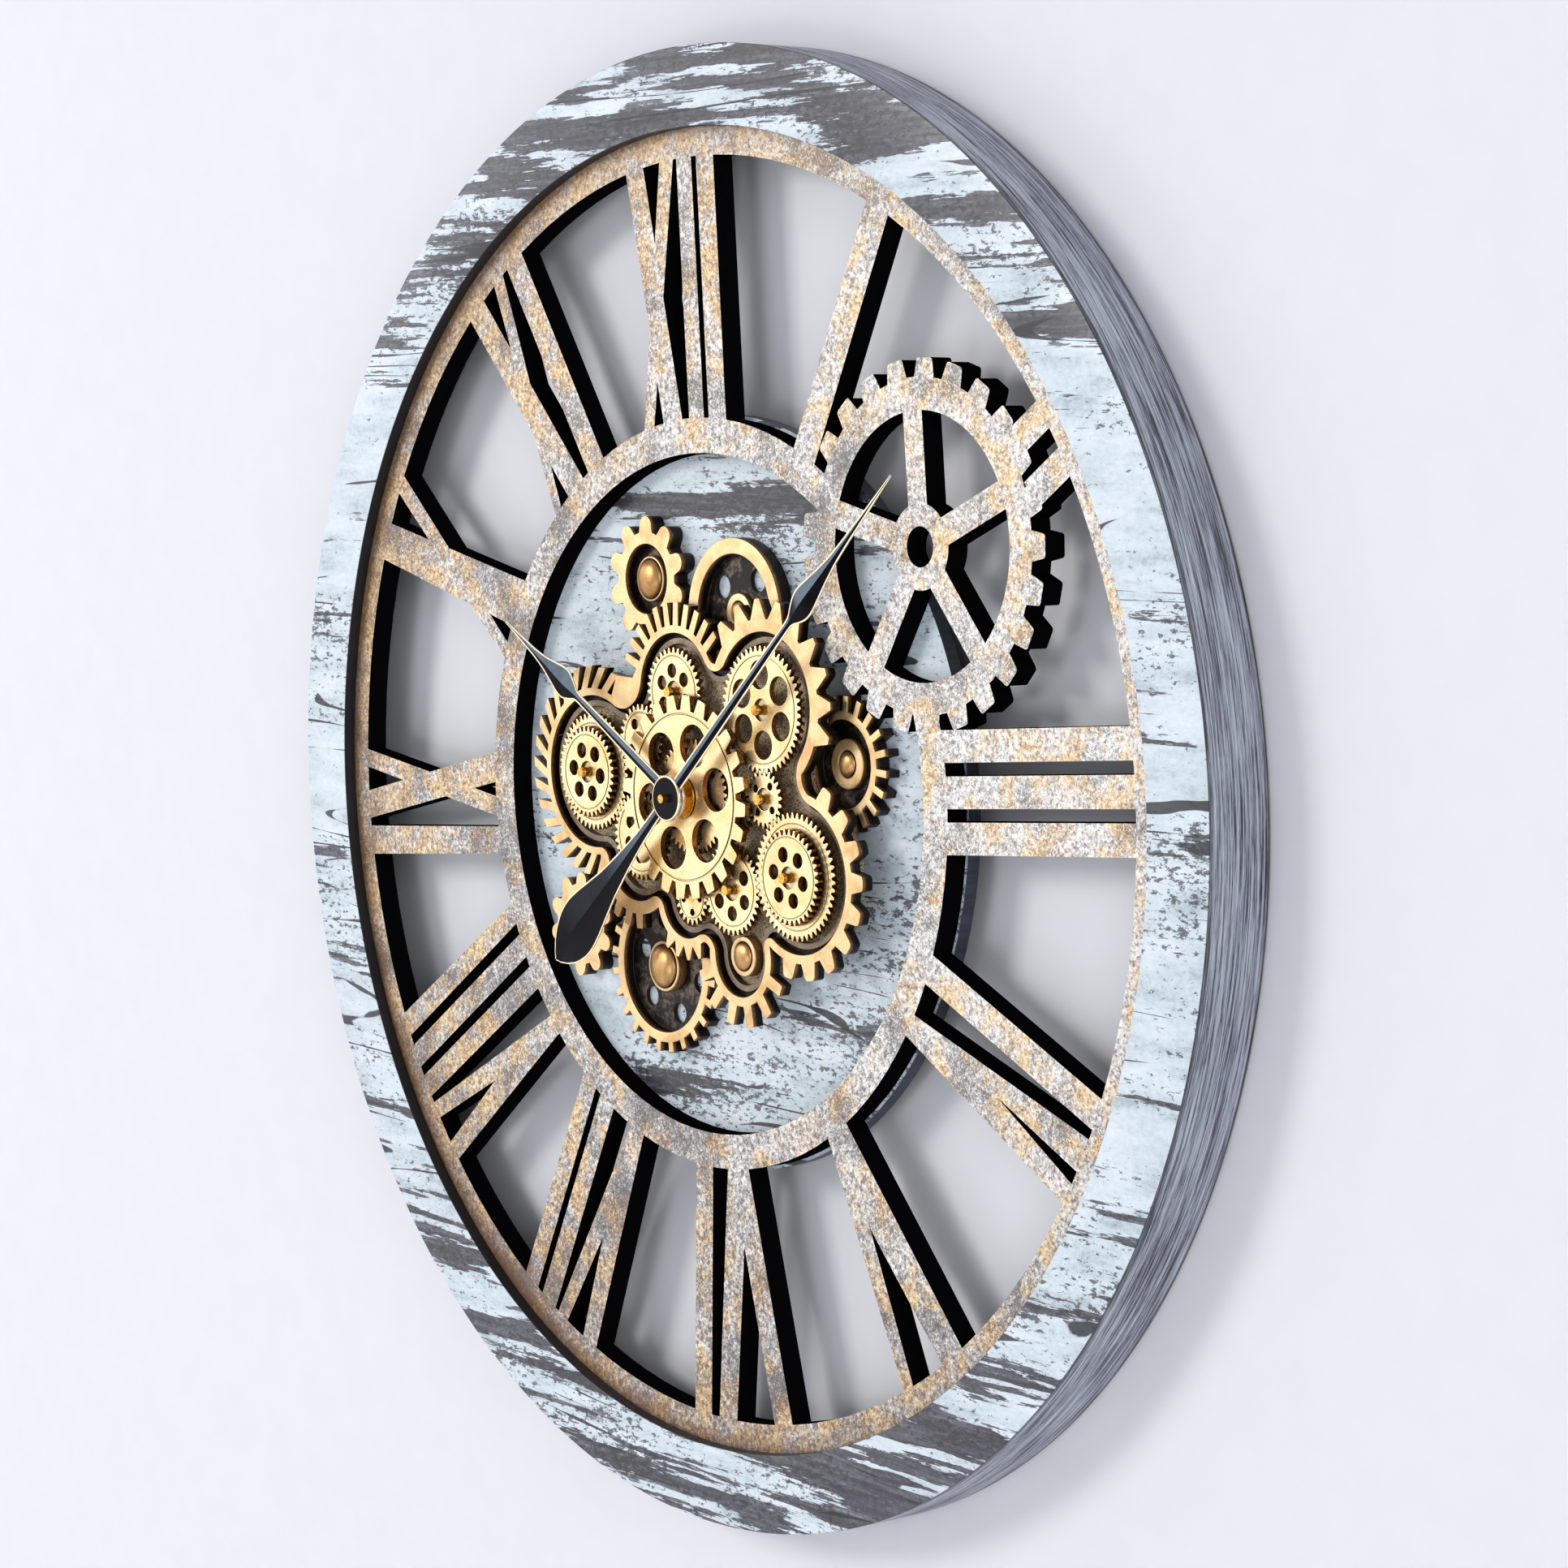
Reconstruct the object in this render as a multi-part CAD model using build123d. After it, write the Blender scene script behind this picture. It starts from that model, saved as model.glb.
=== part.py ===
from build123d import *
import math
import os

# Wall clock with open gearwork. Millimetres. X right, Z up, Y from the viewer to the wall.
# Depths below are stated from the front face of the case (0) towards the wall (+) and are moved by FRONT_Y when
# a solid is made, so that the origin is the centre of the clock's box, on the axis of the hands.

CASE_R = 305.0            # outside radius of the case: a 24 inch dial
FACE_IN_R = 272.5         # inside radius of the wood-print face ring
CASE_DEPTH = 30.0         # face to wall
TIP_FRONT = 17.0          # the arbor's tip stands this far in front of the case
FRONT_Y = (TIP_FRONT - CASE_DEPTH) / 2
HOOP_WALL = 6.0
FACE_T = 5.8
PLATE_BACK = 15.5
DISC_R = 156.5
DISC_T = 6.0
DISC_BACK = PLATE_BACK + DISC_T
RIM_IN_R = 261.0          # numeral plate: rim, inner ring
RING_OUT_R = 155.2
RING_IN_R = 140.9
GAP = 0.05                # radial running clearance of every shaft and gear bore

MODULE = 1.0              # fine gears
FACE_ROOT_R = 36.0        # big centre gear, foot and tip of its block teeth
FACE_TIP_R = 42.2
BACKLASH = 0.14
PRESSURE = math.radians(20)

# gear stack, front faces and thicknesses
TRAIN_Y = -0.8            # layer in which every fine gear meshes
GEAR_T = 2.5
TOP_Y = -4.2              # upper gears of the two stacked pairs
CENTRE_Y = -5.5           # big centre gear
FLOOR_Y = 6.0             # floor plate of the housing
FLOOR_T = 2.0
BEZEL_T = 5.0
PIN_R = 2.0
PIN_TOP = 3.6             # pins stand this far in front of their gear

TIME_MIN = 8.75           # pose at rest: 10:08:45
MINUTE_DEG = 90 - TIME_MIN * 6
HOUR_DEG = 90 - (300 + TIME_MIN / 2)


def at(y):
    """Sketch plane facing the viewer at depth y: local x is X, local y is Z."""
    return Plane(origin=(0, y + FRONT_Y, 0), x_dir=(1, 0, 0), z_dir=(0, -1, 0))


def slab(sketch, y0, y1):
    """Solid between depths y0 (front) and y1 (back)."""
    return extrude(at(y1) * sketch, y1 - y0, dir=(0, -1, 0))


def disc(r, x=0.0, z=0.0):
    return Pos(x, z) * Circle(r)


def ring(r_out, r_in, x=0.0, z=0.0):
    return Pos(x, z) * (Circle(r_out) - Circle(r_in))


def box2(x0, z0, x1, z1):
    return Pos((x0 + x1) / 2, (z0 + z1) / 2) * Rectangle(x1 - x0, z1 - z0)


def poly(points):
    """Polygon with its corners put in anticlockwise order, so that faces join."""
    area = sum(p[0] * q[1] - q[0] * p[1] for p, q in zip(points, points[1:] + points[:1]))
    return Polygon(*(points if area > 0 else points[::-1]), align=None)


def polar(r, deg, c=(0.0, 0.0)):
    a = math.radians(deg)
    return (c[0] + r * math.cos(a), c[1] + r * math.sin(a))


def arc_points(r, a0, a1, n, c=(0.0, 0.0)):
    return [polar(r, a0 + (a1 - a0) * i / n, c) for i in range(n + 1)]


def heading(p, q):
    return math.degrees(math.atan2(q[1] - p[1], q[0] - p[0]))


def meet(p, rp, q, rq, side):
    """Point at distance rp from p and rq from q, left (+1) or right (-1) of the line from p to q."""
    d = math.dist(p, q)
    a = (rp * rp - rq * rq + d * d) / (2 * d)
    h = math.sqrt(rp * rp - a * a) * side
    ux, uy = (q[0] - p[0]) / d, (q[1] - p[1]) / d
    return (p[0] + a * ux - h * uy, p[1] + a * uy + h * ux)


# ---------------------------------------------------------------- gears

def involute_outline(teeth, module, deg, add=0.95, ded=1.25, steps=5):
    """Outline of an external gear with one tooth centred on the direction deg."""
    rp = teeth * module / 2
    rb = rp * math.cos(PRESSURE)
    rt = rp + add * module
    rr = rp - ded * module
    inv_p = math.tan(PRESSURE) - PRESSURE
    half = math.pi / (2 * teeth) - BACKLASH * module / (4 * rp) + inv_p
    r0 = max(rb, rr)
    flank = []
    for i in range(steps + 1):
        r = r0 + (rt - r0) * i / steps
        t = math.acos(min(1.0, rb / r))
        flank.append((r, half - (math.tan(t) - t)))
    if rr < rb:
        flank.insert(0, (rr, flank[0][1]))
    pts = []
    for k in range(teeth):
        c = math.radians(deg) + 2 * math.pi * k / teeth
        for r, a in flank:
            pts.append((r * math.cos(c - a), r * math.sin(c - a)))
        for r, a in reversed(flank):
            pts.append((r * math.cos(c + a), r * math.sin(c + a)))
    return pts


def gear_sketch(teeth, module, deg, centre, bore, holes=0, hole_pcr=0.0, hole_r=0.0, hole_deg=0.0):
    body = poly(involute_outline(teeth, module, deg))
    cuts = [Circle(bore)] if bore else []
    for k in range(holes):
        cuts.append(disc(hole_r, *polar(hole_pcr, hole_deg + 360 * k / holes)))
    if cuts:
        body = body - cuts
    return Pos(*centre) * body


def groove(solid, centre, r, y, width=0.5, depth=0.35):
    """Turned line on a gear's front face."""
    return solid - slab(ring(r + width / 2, r - width / 2, *centre), y - 1, y + depth)


# centres of the train, each pair exactly one pitch distance apart
N_CENTRE = 46
N_LOW_LEFT = 36
N_LEFT = 48
N_IDLER = 28
N_UP_LEFT = 35
N_HIDDEN = 16
N_RIGHT = 22
N_UP_RIGHT = 50
N_LOW_RIGHT = 50
N_LOWER = 36
N_DRIVE = 20
N_TOP = 37                # upper gears of the stacked pairs
N_FACE = 24               # block teeth of the centre gear
FACE_DEG = 6.6            # direction of its first tooth


def reach(a, b):
    return (a + b) * MODULE / 2


CENTRE = (0.0, 0.0)
LEFT = (-69.5, 12.0)
UP_LEFT = (-8.5, 43.5)
RIGHT = (48.4, -2.0)
LOW_LEFT = meet(CENTRE, reach(N_CENTRE, N_LOW_LEFT), LEFT, reach(N_LEFT, N_LOW_LEFT), 1)
IDLER = meet(LEFT, reach(N_LEFT, N_IDLER), UP_LEFT, reach(N_UP_LEFT, N_IDLER), -1)
HIDDEN = meet(CENTRE, reach(N_CENTRE, N_HIDDEN), RIGHT, reach(N_HIDDEN, N_RIGHT), -1)
UP_RIGHT = polar(reach(N_RIGHT, N_UP_RIGHT), 87.3, RIGHT)
LOW_RIGHT = polar(reach(N_RIGHT, N_LOW_RIGHT), -61.1, RIGHT)
LOWER = polar(reach(N_LOW_RIGHT, N_LOWER), 186.7, LOW_RIGHT)
DRIVE = polar(reach(N_LOWER, N_DRIVE), 187.8, LOWER)


def mesh_deg(parent, n_parent, deg_parent, child, n_child):
    """Direction of one tooth of the child that puts it in mesh with its parent."""
    line = heading(parent, child)
    u = ((line - deg_parent) * n_parent / 360) % 1.0
    return line + 180 - (0.5 - u) * 360 / n_child


DEG = {"centre": 0.0}
DEG["low_left"] = mesh_deg(CENTRE, N_CENTRE, DEG["centre"], LOW_LEFT, N_LOW_LEFT)
DEG["left"] = mesh_deg(LOW_LEFT, N_LOW_LEFT, DEG["low_left"], LEFT, N_LEFT)
DEG["idler"] = mesh_deg(LEFT, N_LEFT, DEG["left"], IDLER, N_IDLER)
DEG["up_left"] = mesh_deg(IDLER, N_IDLER, DEG["idler"], UP_LEFT, N_UP_LEFT)
DEG["hidden"] = mesh_deg(CENTRE, N_CENTRE, DEG["centre"], HIDDEN, N_HIDDEN)
DEG["right"] = mesh_deg(HIDDEN, N_HIDDEN, DEG["hidden"], RIGHT, N_RIGHT)
DEG["up_right"] = mesh_deg(RIGHT, N_RIGHT, DEG["right"], UP_RIGHT, N_UP_RIGHT)
DEG["low_right"] = mesh_deg(RIGHT, N_RIGHT, DEG["right"], LOW_RIGHT, N_LOW_RIGHT)
DEG["lower"] = mesh_deg(LOW_RIGHT, N_LOW_RIGHT, DEG["low_right"], LOWER, N_LOWER)
DEG["drive"] = mesh_deg(LOWER, N_LOWER, DEG["lower"], DRIVE, N_DRIVE)

BORE = PIN_R + GAP
TRAIN_BACK = TRAIN_Y + GEAR_T
SLEEVE_R = 6.0            # sleeve the centre gear turns on
RECESS_R = 4.6            # turned recess round each pin
RECESS_D = 1.2


def train_gear(name, teeth, centre, holes=0, pcr=0.0, hole_r=0.0, hole_deg=0.0, bore=BORE, line=None):
    g = slab(gear_sketch(teeth, MODULE, DEG[name], centre, bore, holes, pcr, hole_r, hole_deg), TRAIN_Y, TRAIN_BACK)
    if line:
        g = groove(g, centre, line, TRAIN_Y)
    return g


def recess(g, centre, y):
    return g - slab(disc(RECESS_R, *centre), y - 1, y + RECESS_D)


# ---------------------------------------------------------------- housing outline

# lobes in clockwise order: centre, radius of the bezel's inside edge, root radius, tip radius of its teeth
LOBES = {
    "left": ((-70.0, 12.0), 32.5, 35.5, 44.5),
    "up_left": ((-8.5, 43.5), 24.5, 27.5, 37.0),
    "up_right": ((50.5, 35.0), 30.5, 35.6, 43.6),
    "low_right": ((66.5, -34.0), 31.0, 34.5, 41.4),
    "bottom": ((25.3, -66.0), 16.8, 20.5, 29.2),
    "low_mid": ((-9.0, -42.0), 17.0, 20.6, 26.0),
    "low_left": ((-42.0, -22.0), 21.5, 27.0, 33.0),
}
# radius of the rounded valley between each lobe and the next one
VALLEYS = [14.0, 8.0, 12.0, 4.0, 8.0, 6.0, 6.0]


def lobed(d):
    """Face bounded by the lobed inside edge of the bezel, moved outwards by d (inwards if negative)."""
    lobes = list(LOBES.values())
    n = len(lobes)
    valley = []
    for i in range(n):
        (p, rp, _, _), (q, rq, _, _) = lobes[i], lobes[(i + 1) % n]
        valley.append(meet(p, rp + VALLEYS[i], q, rq + VALLEYS[i], 1))
    edges = []
    for i in range(n):
        c, r = lobes[i][0], lobes[i][1] + d
        f0, f1 = VALLEYS[i - 1] - d, VALLEYS[i] - d
        a0 = heading(c, valley[i - 1])
        a1 = heading(c, valley[i])
        while a1 > a0:
            a1 -= 360
        start = polar(r, a0, c)
        end = polar(r, a1, c)
        edges.append(Edge.make_three_point_arc(start + (0,), polar(r, (a0 + a1) / 2, c) + (0,), end + (0,)))
        nxt = lobes[(i + 1) % n]
        v = valley[i]
        out = polar(nxt[1] + d, heading(nxt[0], v), nxt[0])
        b0 = heading(v, end)
        b1 = heading(v, out)
        while b1 < b0:
            b1 += 360
        edges.append(Edge.make_three_point_arc(end + (0,), polar(f1, (b0 + b1) / 2, v) + (0,), out + (0,)))
    face = Face(Wire(edges))
    return Sketch() + (face if face.normal_at().Z > 0 else -face)


def blunt_tooth(c, deg, r_root, r_tip, w_root, w_tip, skew=0.0, corner=0.0):
    """Tooth pointing along deg: widths at root and tip, tip moved sideways by skew, corners cut back by corner."""
    a = math.radians(deg)
    rad = (math.cos(a), math.sin(a))
    tan = (-rad[1], rad[0])
    r_in = r_root - 1.5

    def p(r, s):
        return (c[0] + r * rad[0] + s * tan[0], c[1] + r * rad[1] + s * tan[1])

    pts = [p(r_in, -w_root / 2), p(r_root, -w_root / 2)]
    if corner:
        pts += [p(r_tip - corner, skew - w_tip / 2), p(r_tip - corner * 0.3, skew - w_tip / 2 + corner * 0.3)]
        pts += [p(r_tip, skew - w_tip / 2 + corner), p(r_tip, skew + w_tip / 2 - corner)]
        pts += [p(r_tip - corner * 0.3, skew + w_tip / 2 - corner * 0.3), p(r_tip - corner, skew + w_tip / 2)]
    else:
        pts += [p(r_tip, skew - w_tip / 2), p(r_tip, skew + w_tip / 2)]
    pts += [p(r_root, w_root / 2), p(r_in, w_root / 2)]
    return poly(pts)


def comb(name, first, step, count, w_root, w_tip, skew=0.0, corner=0.0):
    """Teeth round one lobe, from direction first, each next one turned by step."""
    c, _, r_root, r_tip = LOBES[name]
    return [blunt_tooth(c, first + step * k, r_root, r_tip, w_root, w_tip, skew, corner) for k in range(count)]


def bezel_sketch():
    parts = [lobed(3.0)]
    for c, _, r_root, _ in LOBES.values():
        parts.append(disc(r_root, *c))
    parts += comb("left", 288, -12, 15, 4.0, 4.4, -5.6)
    parts += comb("left", 108, -12, 4, 4.4, 4.6, -5.6)
    parts += comb("up_left", 154, -11.7, 11, 3.6, 3.2)
    parts += comb("up_right", 126.5, -18.3, 9, 9.6, 3.4, 0.0, 0.6)
    parts += comb("low_right", 57.3, -20.2, 9, 8.6, 6.4, 0.0, 1.6)
    parts += comb("bottom", 197, 27, 6, 5.2, 4.8, 0.0, 0.5)
    parts += comb("low_mid", 232, 17.5, 4, 5.6, 2.0, 0.0, 0.4)
    parts += comb("low_left", 205, 15.5, 5, 4.8, 4.0, 0.0, 0.5)
    # the filled web between the left and upper-left lobes
    parts.append(poly([(-56, 40), (-49.5, 52.0), (-38.0, 50.5), (-28.0, 62.0), (-26, 44), (-40, 30)]))
    return Sketch() + parts


# ---------------------------------------------------------------- numeral plate

UNIT = 305.0              # numerals are set out in case radii: (u, v) = (clockwise, outward)
V_TOP, V_FOOT = 0.855, 0.508


def bar(t0, t1, b0, b1):
    """Straight stroke: clockwise offsets of its two edges at the top and at the foot."""
    def at_v(t, b, v):
        return b + (t - b) * (v - V_FOOT) / (V_TOP - V_FOOT)
    lo, hi = V_FOOT - 0.02, V_TOP + 0.02
    return [(at_v(t0, b0, hi), hi), (at_v(t1, b1, hi), hi), (at_v(t1, b1, lo), lo), (at_v(t0, b0, lo), lo)]


def vee(left, right, foot, apex):
    """V: edges of its two strokes at the top, edges of the foot, tip of the notch."""
    hi, lo = V_TOP + 0.02, V_FOOT - 0.02
    return [(left[0], hi), (left[1], hi), (left[1], V_TOP), apex, (right[0], V_TOP), (right[0], hi),
            (right[1], hi), (right[1], V_TOP), (foot[1], V_FOOT), (foot[1], lo), (foot[0], lo), (foot[0], V_FOOT),
            (left[0], V_TOP)]


NUMERALS = {
    1: [bar(-0.024, 0.024, -0.024, 0.024)],
    3: [bar(s - 0.0205, s + 0.0205, s - 0.0205, s + 0.0205) for s in (-0.058, 0.0, 0.058)],
    4: [bar(-0.064, -0.021, -0.055, -0.014), vee((-0.007, 0.041), (0.060, 0.091), (0.034, 0.067), (0.040, 0.69))],
    5: [vee((-0.069, -0.021), (0.049, 0.071), (-0.020, 0.025), (0.013, 0.646))],
    6: [vee((-0.127, -0.087), (-0.002, 0.038), (-0.056, -0.010), (-0.038, 0.615)),
        bar(0.056, 0.094, 0.024, 0.062)],
    7: [vee((-0.113, -0.079), (-0.037, -0.012), (-0.080, -0.048), (-0.059, 0.692)),
        bar(-0.004, 0.033, -0.003, 0.033), bar(0.046, 0.081, 0.046, 0.080)],
    8: [vee((-0.141, -0.110), (-0.066, -0.040), (-0.108, -0.076), (-0.088, 0.688)),
        bar(-0.029, 0.006, -0.029, 0.007), bar(0.021, 0.057, 0.023, 0.058), bar(0.073, 0.109, 0.075, 0.105)],
    9: [bar(-0.089, -0.046, -0.086, -0.046), bar(-0.034, 0.008, 0.019, 0.062),
        bar(0.044, 0.071, -0.031, -0.002)],
    10: [bar(-0.082, -0.023, -0.011, 0.062), bar(0.028, 0.058, -0.061, -0.038)],
    11: [bar(-0.099, -0.054, -0.038, 0.007), bar(-0.019, 0.008, -0.078, -0.060), bar(0.021, 0.064, 0.022, 0.064)],
    12: [bar(-0.110, -0.069, -0.051, -0.008), bar(-0.030, 0.001, -0.094, -0.071),
         bar(0.008, 0.041, 0.008, 0.041), bar(0.052, 0.090, 0.052, 0.090)],
}
# the two stubs of the II left above the big gear
STUBS = [(-0.0545, -0.0145), (0.0145, 0.0545)]
STUB_FOOT = 0.79

WHEEL_C = (147.7, 92.8)   # big still gear cut in the plate at two o'clock
WHEEL_TIP = 72.1
WHEEL_ROOT = 64.8
WHEEL_WINDOW = 52.2
WHEEL_HUB = 16.8
WHEEL_HOLE = 7.9
WHEEL_TEETH = 25
WHEEL_DEG = 82.8          # direction of its first tooth
WHEEL_SPOKES = 5
SPOKE_W = 11.2
NUMERAL_TURN = 0.9        # the numerals stand this much clockwise of the gear housing
NUMERAL_RISE = 0.7        # and this much high


def hour_point(u, v, hour):
    a = math.radians(hour * 30 + NUMERAL_TURN)
    x = UNIT * (u * math.cos(a) + v * math.sin(a))
    return (x, UNIT * (-u * math.sin(a) + v * math.cos(a)) + NUMERAL_RISE)


def numeral_sketch():
    parts = [ring(CASE_R - HOOP_WALL, RIM_IN_R), ring(RING_OUT_R, RING_IN_R)]
    for hour, strokes in NUMERALS.items():
        for stroke in strokes:
            parts.append(poly([hour_point(u, v, hour) for u, v in stroke]))
    plate = Sketch() + parts
    plate = plate - disc(WHEEL_ROOT - 1, *WHEEL_C)
    wheel = [ring(WHEEL_ROOT, WHEEL_WINDOW, *WHEEL_C), ring(WHEEL_HUB, WHEEL_HOLE, *WHEEL_C)]
    for k in range(WHEEL_SPOKES):
        r_mid = (WHEEL_HUB + WHEEL_WINDOW) / 2
        spoke = Rectangle(WHEEL_WINDOW - WHEEL_HUB + 4, SPOKE_W)
        wheel.append(Pos(*WHEEL_C) * Rot(0, 0, 90 + 72 * k) * Pos(r_mid, 0) * spoke)
    for k in range(WHEEL_TEETH):
        wheel.append(blunt_tooth(WHEEL_C, WHEEL_DEG + 360 / WHEEL_TEETH * k, WHEEL_ROOT, WHEEL_TIP, 11.6, 9.3, 0.0, 1.2))
    for u0, u1 in STUBS:
        pts = [(u0, V_TOP + 0.02), (u1, V_TOP + 0.02), (u1, STUB_FOOT - 0.01), (u0, STUB_FOOT - 0.01)]
        wheel.append(poly([hour_point(u, v, 2) for u, v in pts]))
    return plate + wheel


# ---------------------------------------------------------------- still ornaments

SAT_Y = 8.4               # front faces of the ornaments
SAT_T = PLATE_BACK - SAT_Y
SAT_DISH_Y = 5.0          # depth of the dish below the ring's face
TOP_GEAR = (-35.6, 91.6)
TOP_RING = (23.4, 74.0)
SIDE_GEAR = (88.7, 10.5)
BOTTOM_GEAR = (-40.7, -71.7)
CORNER_GEAR = (-99.2, -54.1)
DOMES = {"top": TOP_GEAR, "ring": TOP_RING, "side": SIDE_GEAR, "bottom": BOTTOM_GEAR, "corner": CORNER_GEAR}


def round_teeth(c, count, first, r_root, r_tip, width):
    parts = []
    for k in range(count):
        d = first + 360 * k / count
        parts.append(blunt_tooth(c, d, r_root, r_tip - width / 2, width * 1.12, width))
        parts.append(disc(width / 2, *polar(r_tip - width / 2, d, c)))
    return parts


def bar_teeth(c, count, first, r_root, r_tip, width):
    return [blunt_tooth(c, first + 360 * k / count, r_root, r_tip, width, width) for k in range(count)]


def ornament(c, outer, r_open, holes=0, pcr=0.0, hole_r=0.0, first=0.0):
    """Toothed or plain ring with a sunk dish, lying on the centre disc, and a screw hole behind."""
    body = slab(Sketch() + outer, SAT_Y, SAT_Y + SAT_T)
    body = body - slab(disc(r_open, *c), SAT_Y - 1, SAT_Y + SAT_DISH_Y)
    if holes:
        cuts = [disc(hole_r, *polar(pcr, first + 360 * k / holes, c)) for k in range(holes)]
        body = body - slab(Sketch() + cuts, SAT_Y, SAT_Y + SAT_T + 1)
    return body - slab(disc(1.5, *c), SAT_Y + SAT_DISH_Y - 1, PLATE_BACK + 1)


DOME_RISE = 0.42           # height of a dome over its radius


def cap(c, r_collar, r_dome, y_seat, height):
    """Turned collar with a domed cap standing on it."""
    r = [(0, y_seat), (r_collar, y_seat), (r_collar, y_seat - height), (r_collar - 1.2, y_seat - height - 0.5),
         (r_dome, y_seat - height), (r_dome, y_seat - height + 0.4)]
    n = 7
    rise = r_dome * DOME_RISE
    for i in range(1, n + 1):
        a = math.pi / 2 * i / n
        r.append((r_dome * math.cos(a), y_seat - height + 0.4 - rise * math.sin(a)))
    prof = Polyline(*[(p[0], p[1] + FRONT_Y) for p in r], close=True)
    return Pos(c[0], 0, c[1]) * revolve(make_face(prof), Axis.Y, 360)


# ---------------------------------------------------------------- hands

def blade(stations, deg, y_back, t_edge, slope):
    """Hand with a raised centre ridge: stations are (distance from the axis, half width)."""
    sections = []
    for s, w in stations:
        w_top = max(w - 0.35, 0.12)
        h = slope * w_top + 0.15
        pts = [(s, y_back, -w), (s, y_back - t_edge, -w), (s, y_back - t_edge, -w_top),
               (s, y_back - t_edge - h, 0), (s, y_back - t_edge, w_top), (s, y_back - t_edge, w), (s, y_back, w)]
        sections.append(Wire.make_polygon([Vector(x, y + FRONT_Y, z) for x, y, z in pts], close=True))
    return Rot(0, -deg, 0) * Solid.make_loft(sections, ruled=True)


MINUTE_BLADE = [(7, 2.9), (40, 2.7), (85, 2.2), (108, 1.9), (112, 2.4), (116, 4.6), (120, 6.3), (124, 6.6), (130, 5.6),
                (138, 4.0), (148, 2.5), (160, 1.7), (178, 1.0), (196.5, 0.45)]
MINUTE_TAIL = [(7, 2.6), (25, 3.1), (42, 4.8), (58, 7.2), (70, 10.0), (80, 12.3), (87, 13.2), (93, 12.6), (99.5, 10.4),
               (105, 6.9), (108.8, 3.4), (111, 0.6)]
HOUR_BLADE = [(6, 2.8), (40, 2.5), (72, 2.0), (79, 2.2), (83, 4.4), (87, 6.3), (91, 6.5), (97, 5.1), (105, 3.1),
              (114, 1.8), (126, 1.1), (139, 0.45)]
HAND_EDGE = 0.45
RIDGE = 0.14

BUSH_R = 4.0
PIPE_R = 2.75
ARBOR_R = 1.75
WASHER_Y = -6.6
NUT_Y = -8.9
HOUR_BACK = -10.2
MINUTE_BACK = -13.0
CAP_R = 9.6
CAP_FRONT = -14.4
MOVE_Y = FLOOR_Y + FLOOR_T
MOVE_BACK = MOVE_Y + 17.0
MOVE_HALF = 28.0

PINS = {"left": (LEFT, TOP_Y), "low_left": (LOW_LEFT, TRAIN_Y), "idler": (IDLER, TRAIN_Y),
        "up_left": (UP_LEFT, TRAIN_Y), "hidden": (HIDDEN, TRAIN_Y), "right": (RIGHT, TRAIN_Y),
        "up_right": (UP_RIGHT, TRAIN_Y), "low_right": (LOW_RIGHT, TOP_Y), "lower": (LOWER, TRAIN_Y)}
SHORT_PINS = ("low_left", "idler", "hidden")
STANDOFFS = [(-91.0, 3.0), (-60.0, 37.0), (-14.0, 60.0), (64.0, 55.0), (72.0, -58.0), (25.3, -66.0)]
STANDOFF_R = 4.0

# gear motor behind the lower pinion, and the two-cell holder behind the lower-right lobe
MOTOR = (-9.5, -51.0, 16.0, -31.0)
MOTOR_BACK = MOVE_BACK - 2.5
HOLDER = (29.5, -51.0, 84.5, -19.0)
HOLDER_BACK = MOVE_BACK + 0.4
WALL = 1.2
AA_R = 7.2
AA_L = 50.0

parts = {}


# case
parts["face_ring"] = slab(ring(CASE_R, FACE_IN_R), 0, FACE_T)
parts["side_hoop"] = slab(ring(CASE_R, CASE_R - HOOP_WALL), FACE_T, CASE_DEPTH)
parts["numeral_plate"] = slab(numeral_sketch(), FACE_T, PLATE_BACK)

BAY_CLEAR = 1.0
openings = [box2(-MOVE_HALF - BAY_CLEAR, -MOVE_HALF - BAY_CLEAR, MOVE_HALF + BAY_CLEAR, MOVE_HALF + BAY_CLEAR),
            box2(MOTOR[0] - BAY_CLEAR, MOTOR[1] - BAY_CLEAR, MOTOR[2] + BAY_CLEAR, -MOVE_HALF),
            box2(HOLDER[0] - BAY_CLEAR, HOLDER[1] - BAY_CLEAR, HOLDER[2] + BAY_CLEAR, HOLDER[3] + BAY_CLEAR)]
disc_cuts = [disc(1.6, *p) for p in STANDOFFS] + [disc(1.6, *p) for p in DOMES.values()]
RING_SCREWS = [polar(148.0, 15 + 60 * k) for k in range(6)]
RING_SCREWS[0] = polar(148.0, 2)
disc_cuts += [disc(1.8, *p) for p in RING_SCREWS]
parts["centre_disc"] = slab(disc(DISC_R) - openings - disc_cuts, PLATE_BACK, DISC_BACK)


def screw(x, z, y_head, y_tip, r, r_head, t_head=1.6):
    """Screw put in from behind: head at the wall side."""
    return slab(disc(r, x, z), y_tip, y_head) + slab(disc(r_head, x, z), y_head, y_head + t_head)


DISC_SCREW_TIP = PLATE_BACK - 7.0
holes = [slab(disc(1.45, *p), DISC_SCREW_TIP - 0.4, PLATE_BACK + 1) for p in RING_SCREWS]
parts["numeral_plate"] = parts["numeral_plate"] - holes
parts["disc_screws"] = [screw(p[0], p[1], DISC_BACK, DISC_SCREW_TIP, 1.45, 3.4) for p in RING_SCREWS]

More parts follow.
